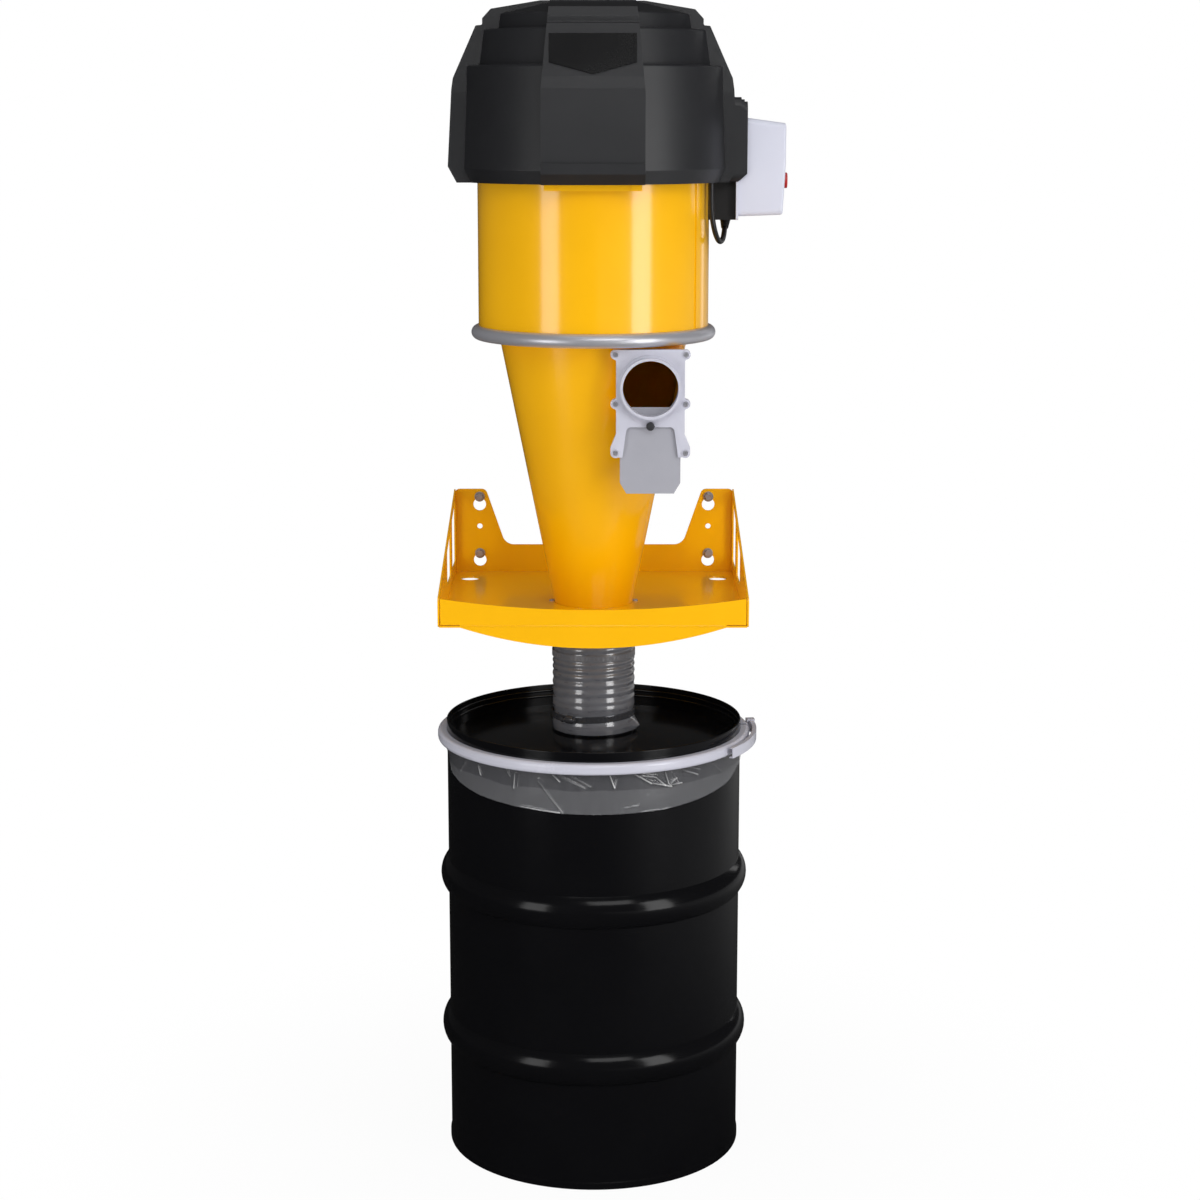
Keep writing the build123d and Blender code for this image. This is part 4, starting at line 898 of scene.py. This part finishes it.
front_count = round(2 * FRONT_HALF / FRONT_STEP)
back_count = round((360 - 2 * FRONT_HALF) / BACK_STEP)
film_turns = [-FRONT_HALF + FRONT_STEP * i for i in range(front_count)]
film_turns += [FRONT_HALF + BACK_STEP * i for i in range(back_count)]
film_rings = []
film_painted_gleam = []
for row in range(DROP_STEPS + 1):
    ring = []
    for turn in film_turns:
        turn = turn - 360 if turn > 180 else turn
        drop = edge_drop(turn) * row / DROP_STEPS
        slack = SLACK * (1 + sin(radians(SLACK_WAVES * turn) + SLACK_TWIST * drop))
        slack *= row / DROP_STEPS
        curl = EDGE_CURL if row == DROP_STEPS else 0.0
        lift, painted_gleam = crease_at(turn, drop)
        film_painted_gleam.append(painted_gleam)
        r = FILM_RADIUS + slack + curl + lift
        ring.append((r * sin(radians(turn)), AXIS_Y - r * cos(radians(turn)), film_high.z - drop))
    film_rings.append(ring)
film_sheet = add_piece("film_sheet", *skin(film_rings), "film", sharp=80)
# The strength of the painted highlight at each point, which the film's colour reads.
film_sheet.data.attributes.new("painted_gleam", "FLOAT", "POINT").data.foreach_set("value", film_painted_gleam)
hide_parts("bag_cuff")

# %% [markdown]
# ## Screws and bolts on the wall bracket
#
# The bracket hangs on four wall bolts. Each has a washer that bridges the keyhole's slot and a
# hexagon head with a chamfer, and both are turned from small profiles. Two short screws hold the
# cone's foot down on the shelf. The sheet between the front lip and the skirt below it is one
# bend, so a slim bead rounds it.

# %% Bolt the bracket
TO_FRONT = (0, -1, 0)
WASHER = [(0.0, 0.0), (0.0104, 0.0), (0.0104, 0.0022), (0.0092, 0.0030), (0.0, 0.0030)]
HEX_HEAD = [(0.0, 0.0030), (0.0076, 0.0030), (0.0076, 0.0082), (0.0066, 0.0092), (0.0, 0.0092)]
BOLT_X = 0.2353
BOLT_HEIGHTS = (0.0005, 0.1185)
PAN_HEAD = [
    (0.0, 0.0), (0.0052, 0.0), (0.0052, 0.0012), (0.0044, 0.0026), (0.0026, 0.0032),
    (0.0024, 0.0018), (0.0, 0.0018),
]
FOOT_SCREW_X = 0.081

plate_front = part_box("bracket_back_plate")[0].y
bolt_skins = []
for x in (-BOLT_X, BOLT_X):
    for z in BOLT_HEIGHTS:
        bolt_skins.append(skin(turned(WASHER, (x, plate_front, z), TO_FRONT, count=40)))
        bolt_skins.append(skin(turned(HEX_HEAD, (x, plate_front, z), TO_FRONT, count=36, corners=6)))
add_piece("wall_bolts", *join_skins(*bolt_skins), "screw_steel", sharp=30)

shelf_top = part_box("bracket_shelf")[1].z
foot_skins = []
for x in (-FOOT_SCREW_X, FOOT_SCREW_X):
    foot_skins.append(skin(turned(PAN_HEAD, (x, AXIS_Y, shelf_top), (0, 0, 1), count=32)))
add_piece("foot_screws", *join_skins(*foot_skins), "screw_steel", sharp=30)
print("bolts:", len(bolt_skins) // 2, "foot screws:", len(foot_skins))

# %% Round the bend under the lip
BEND_RADIUS = 0.0014
BEND_PROUD_SHARE = 0.7
BEND_INSET = 0.004
BEND_STEPS = 16

lip_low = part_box("bracket_front_lip")[0]
skirt_low, skirt_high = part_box("bracket_front_skirt")
bend_proud = BEND_PROUD_SHARE * BEND_RADIUS
bend_rings = []
for x in (skirt_low.x + BEND_INSET, skirt_high.x - BEND_INSET):
    ring = []
    for i in range(BEND_STEPS + 1):
        angle = pi * i / BEND_STEPS
        ring.append((x, lip_low.y - bend_proud * sin(angle), lip_low.z + BEND_RADIUS * cos(angle)))
    bend_rings.append(ring)
lip_bend = add_piece("lip_bend", *skin(bend_rings, capped=True), "yellow_paint", sharp=30)
print("bend faces:", len(lip_bend.data.polygons))

# %% [markdown]
# ## The slide gate's small parts
#
# Six socket-head screws hold the gate's halves together through their ears. Each lies in a faint
# ring, the mark of its counterbore. The lock screw has a fluted plastic knob. It turns, so it
# rides on the knob's own body.

# %% Screw the gate together
SCREW_RADIUS = 0.0045
SOCKET_HEAD = [
    (0.0, 0.0), (SCREW_RADIUS, 0.0), (SCREW_RADIUS, 0.0012), (0.0037, 0.0019), (0.0026, 0.0019),
    (0.0024, 0.0004), (0.0, 0.0004),
]
EAR_RIM = [(0.0052, 0.0), (0.0052, 0.0009), (0.0058, 0.0013), (0.0066, 0.0010), (0.0068, 0.0)]

screw_low, screw_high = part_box("gate_screws")
screw_levels = (
    screw_low.z + SCREW_RADIUS, (screw_low.z + screw_high.z) / 2, screw_high.z - SCREW_RADIUS,
)
screw_skins = []
rim_skins = []
for x in (screw_low.x + SCREW_RADIUS, screw_high.x - SCREW_RADIUS):
    for z in screw_levels:
        screw_skins.append(skin(turned(SOCKET_HEAD, (x, screw_high.y, z), TO_FRONT, count=32)))
        rim_rings = turned(EAR_RIM, (x, screw_high.y, z), TO_FRONT, count=40)
        rim_skins.append(skin(rim_rings + rim_rings[:1]))
add_piece("ear_rims", *join_skins(*rim_skins), "cast_aluminium", sharp=40)
ear_screws = add_piece("ear_screws", *join_skins(*screw_skins), "screw_steel", sharp=30)
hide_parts("gate_screws")
print("gate screws:", len(screw_skins))

# %% Turn the lock knob
KNOB_PROFILE = [
    (0.0, 0.0), (0.0060, 0.0), (0.0066, 0.0008), (0.0080, 0.0018), (0.0080, 0.0076),
    (0.0074, 0.0088), (0.0056, 0.0096), (0.0030, 0.0099), (0.0, 0.0100),
]
KNOB_FLUTES = 18
STEPS_A_FLUTE = 6

knob_low, knob_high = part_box("gate_knob")
knob_start = ((knob_low.x + knob_high.x) / 2, knob_high.y, (knob_low.z + knob_high.z) / 2)
knob_rings = turned(
    KNOB_PROFILE, knob_start, TO_FRONT, count=STEPS_A_FLUTE * KNOB_FLUTES, flutes=KNOB_FLUTES
)
lock_knob = add_piece("lock_knob", *skin(knob_rings), "knob_plastic", sharp=40, body="gate_knob")
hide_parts("gate_knob")
print("knob flutes:", KNOB_FLUTES)

# %% [markdown]
# ## The cable's gland
#
# The gland is a hexagon nut and a ribbed sleeve that keeps the cable from being bent sharply at
# its mouth. The ribs shrink towards the end, as moulded strain reliefs do.

# %% Turn the gland
GLAND_LENGTH = 0.024
GLAND_BORE = 0.0054
NUT_HEIGHT = 0.0070
NUT_PROFILE = [
    (GLAND_BORE, 0.0), (0.0099, 0.0), (0.0099, 0.0062),
    (0.0090, NUT_HEIGHT), (GLAND_BORE, NUT_HEIGHT),
]
SLEEVE_RIBS = 5
SLEEVE_RADIUS, SLEEVE_SHRINK = 0.0090, 0.0005
SLEEVE_START, SLEEVE_PITCH = 0.0072, 0.0033
SLEEVE_RIB = [(0.0014, 0.0), (0.0, 0.0006), (0.0, 0.0020), (0.0014, 0.0026)]  # depth, distance

sleeve_profile = [(GLAND_BORE, NUT_HEIGHT)]
for rib in range(SLEEVE_RIBS):
    rib_radius = SLEEVE_RADIUS - SLEEVE_SHRINK * rib
    rib_foot = SLEEVE_START + SLEEVE_PITCH * rib
    sleeve_profile += [(rib_radius - depth, rib_foot + distance) for depth, distance in SLEEVE_RIB]
sleeve_profile.append((GLAND_BORE, GLAND_LENGTH))
gland_way = (Vector(CABLE_POINTS[1]) - Vector(CABLE_POINTS[0])).normalized()
gland_start = Vector(CABLE_POINTS[0]) - gland_way * GLAND_LENGTH
nut_rings = turned(NUT_PROFILE, gland_start, gland_way, count=36, corners=6)
sleeve_rings = turned(sleeve_profile, gland_start, gland_way, count=36)
gland_skins = join_skins(skin(nut_rings + nut_rings[:1]), skin(sleeve_rings + sleeve_rings[:1]))
ribbed_gland = add_piece("ribbed_gland", *gland_skins, "gland_plastic", sharp=30)
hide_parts("cable_gland")
print("gland faces:", len(ribbed_gland.data.polygons))

# %% [markdown]
# ## The room
#
# The photograph has a white room with no visible corner. The floor and the world are white to the
# camera and through clear plastic, while the light that falls on the machine stays at a plain
# level. Polished surfaces see a dim room, so that the black drum and the paint keep their depth:
# the floor is almost dark in them on the left and greyer on the right, where the photograph's
# drum shows a paler side. Near the drum the floor is part dull to the camera, so that it keeps
# the soft shadow; further away the white takes over, and no horizon shows.

# %% Room tools
WHITE = (1, 1, 1, 1)


def light_path(paint, kind):
    """1 for rays of a kind, 0 for others."""
    return paint.make("ShaderNodeLightPath", output=kind)


def seen_plainly(paint, camera_share):
    """1 where white is seen: by a share of the camera's rays, and through clear plastic."""
    return paint.math("MAXIMUM", camera_share, light_path(paint, "Is Transmission Ray"))


def white_light(paint, kind, strength):
    """White light of a strength, from an emission or a background node."""
    return paint.make(kind, inputs={"Color": WHITE, "Strength": strength})


def mix_shaders(paint, share, first, second):
    """The first shader where the share is 0 and the second where it is 1."""
    return paint.make("ShaderNodeMixShader", inputs={0: share, 1: first, 2: second})


def smooth_step(paint, value, start, end, low, high):
    """Goes softly from low to high as a value goes from start to end."""
    inputs = {"Value": value, "From Min": start, "From Max": end, "To Min": low, "To Max": high}
    return paint.make("ShaderNodeMapRange", {"interpolation_type": "SMOOTHSTEP"}, inputs)


print("room tools ready")

# %% Lay the floor
FLOOR_HALF = 30
FLOOR_GRAIN_SCALE = 40.0
FLOOR_DARK, FLOOR_LIGHT = (0.80, 0.80, 0.80), (0.83, 0.83, 0.83)
NEAR_WHITE = 0.95
SHADOW_REACH = (0.35, 1.3)
FLOOR_MIRROR_LEFT = 0.01
FLOOR_MIRROR_RIGHT = 0.32
MIRROR_SLIDE = (0.2, 2.6)


def white_floor():
    """Dull white near the drum, plain white far away, and a dim gradient in mirrors."""
    constants = {"Roughness": 0.9, "Specular IOR Level": 0.0}
    material, paint, shader = start_finish("white_floor", constants)
    where = place_on(paint)
    grain = noise(paint, where, FLOOR_GRAIN_SCALE, detail=2.0)
    paint.feed(shader, {"Base Color": blend_colours(paint, grain, FLOOR_DARK, FLOOR_LIGHT)})
    foot = {0: where, 1: (0, AXIS_Y, FLOOR_Z)}
    offset = paint.make("ShaderNodeVectorMath", {"operation": "SUBTRACT"}, foot)
    away = paint.make("ShaderNodeVectorMath", {"operation": "LENGTH"}, {0: offset}, output="Value")
    fade = smooth_step(paint, away, *SHADOW_REACH, NEAR_WHITE, 1.0)
    dull = Signal(paint.tree, shader.outputs["BSDF"])
    white = white_light(paint, "ShaderNodeEmission", 1.0)
    seen = seen_plainly(paint, light_path(paint, "Is Camera Ray") * fade)
    plain_view = mix_shaders(paint, seen, dull, white)
    left = white_light(paint, "ShaderNodeEmission", FLOOR_MIRROR_LEFT)
    right = white_light(paint, "ShaderNodeEmission", FLOOR_MIRROR_RIGHT)
    across = paint.make("ShaderNodeSeparateXYZ", inputs={0: where}, output="X")
    slide = smooth_step(paint, across, *MIRROR_SLIDE, 0.0, 1.0)
    mirror_view = mix_shaders(paint, slide, left, right)
    whole = mix_shaders(paint, light_path(paint, "Is Glossy Ray"), plain_view, mirror_view)
    paint.feed(paint.tree.nodes["Material Output"], {"Surface": whole})
    return material


floor_corners = [
    (x * FLOOR_HALF, y * FLOOR_HALF, FLOOR_Z) for x, y in ((-1, -1), (1, -1), (1, 1), (-1, 1))
]
floor_mesh = bpy.data.meshes.new("floor")
floor_mesh.from_pydata(floor_corners, [], [(0, 1, 2, 3)])
floor_mesh.materials.append(white_floor())
floor = bpy.data.objects.new("floor", floor_mesh)
bpy.context.scene.collection.objects.link(floor)
print("floor at", round(FLOOR_Z, 4))

# %% Light the room
ROOM_LIGHT = 0.52
SKY_MIRROR = 0.035

world = bpy.data.worlds.new("white_room")
bpy.context.scene.world = world
world.use_nodes = True
sky = Signal(world.node_tree)
plain_light = white_light(sky, "ShaderNodeBackground", ROOM_LIGHT)
mirrored_light = white_light(sky, "ShaderNodeBackground", SKY_MIRROR)
seen_light = white_light(sky, "ShaderNodeBackground", 1.0)
lighting = mix_shaders(sky, light_path(sky, "Is Glossy Ray"), plain_light, mirrored_light)
seen_sky = seen_plainly(sky, light_path(sky, "Is Camera Ray"))
whole_sky = mix_shaders(sky, seen_sky, lighting, seen_light)
sky.feed(world.node_tree.nodes["World Output"], {"Surface": whole_sky})
print("room ready")

# %% [markdown]
# ## The lamps
#
# Two tall soft boxes stand in front of the machine, one each side of the camera. Their
# reflections are the two pale stripes down the barrel. A wide one high in front lights the faces
# evenly, a narrow one behind on the right draws the thin line along the barrel's edge, and one
# overhead fills the shelf and the lid.

# %% Place the lamps
LAMPS = {
    # lamp: turn from the camera's side, distance, height, width, length, brightness, height aimed at
    "lamp_left": (-42, 3.2, 0.02, 1.00, 1.9, 3.4, 0.2),
    "lamp_right": (47, 3.2, 0.30, 1.10, 2.5, 4.5, 0.2),
    "lamp_front": (14, 3.0, 2.4, 2.0, 1.4, 3.0, 0.4),
    "lamp_behind": (136, 2.6, 0.9, 0.30, 2.2, 1.2, 0.2),
    "lamp_above": (10, 0.6, 3.4, 2.2, 1.6, 1.0, 0.2),
}


def soft_box(name, turn, distance, height, width, length, brightness, aim_z):
    """An area lamp at a turn from the camera's side, facing the machine's axis."""
    data = bpy.data.lights.new(name, "AREA")
    data.shape = "RECTANGLE"
    data.size = width
    data.size_y = length
    data.energy = brightness * pi * width * length
    lamp = bpy.data.objects.new(name, data)
    lamp.location = (distance * sin(radians(turn)), AXIS_Y - distance * cos(radians(turn)), height)
    aim = Vector((0, AXIS_Y, aim_z)) - lamp.location
    lamp.rotation_euler = aim.to_track_quat("-Z", "Y").to_euler()
    bpy.context.scene.collection.objects.link(lamp)


for name, values in LAMPS.items():
    soft_box(name, *values)
print("lamps:", len(LAMPS))
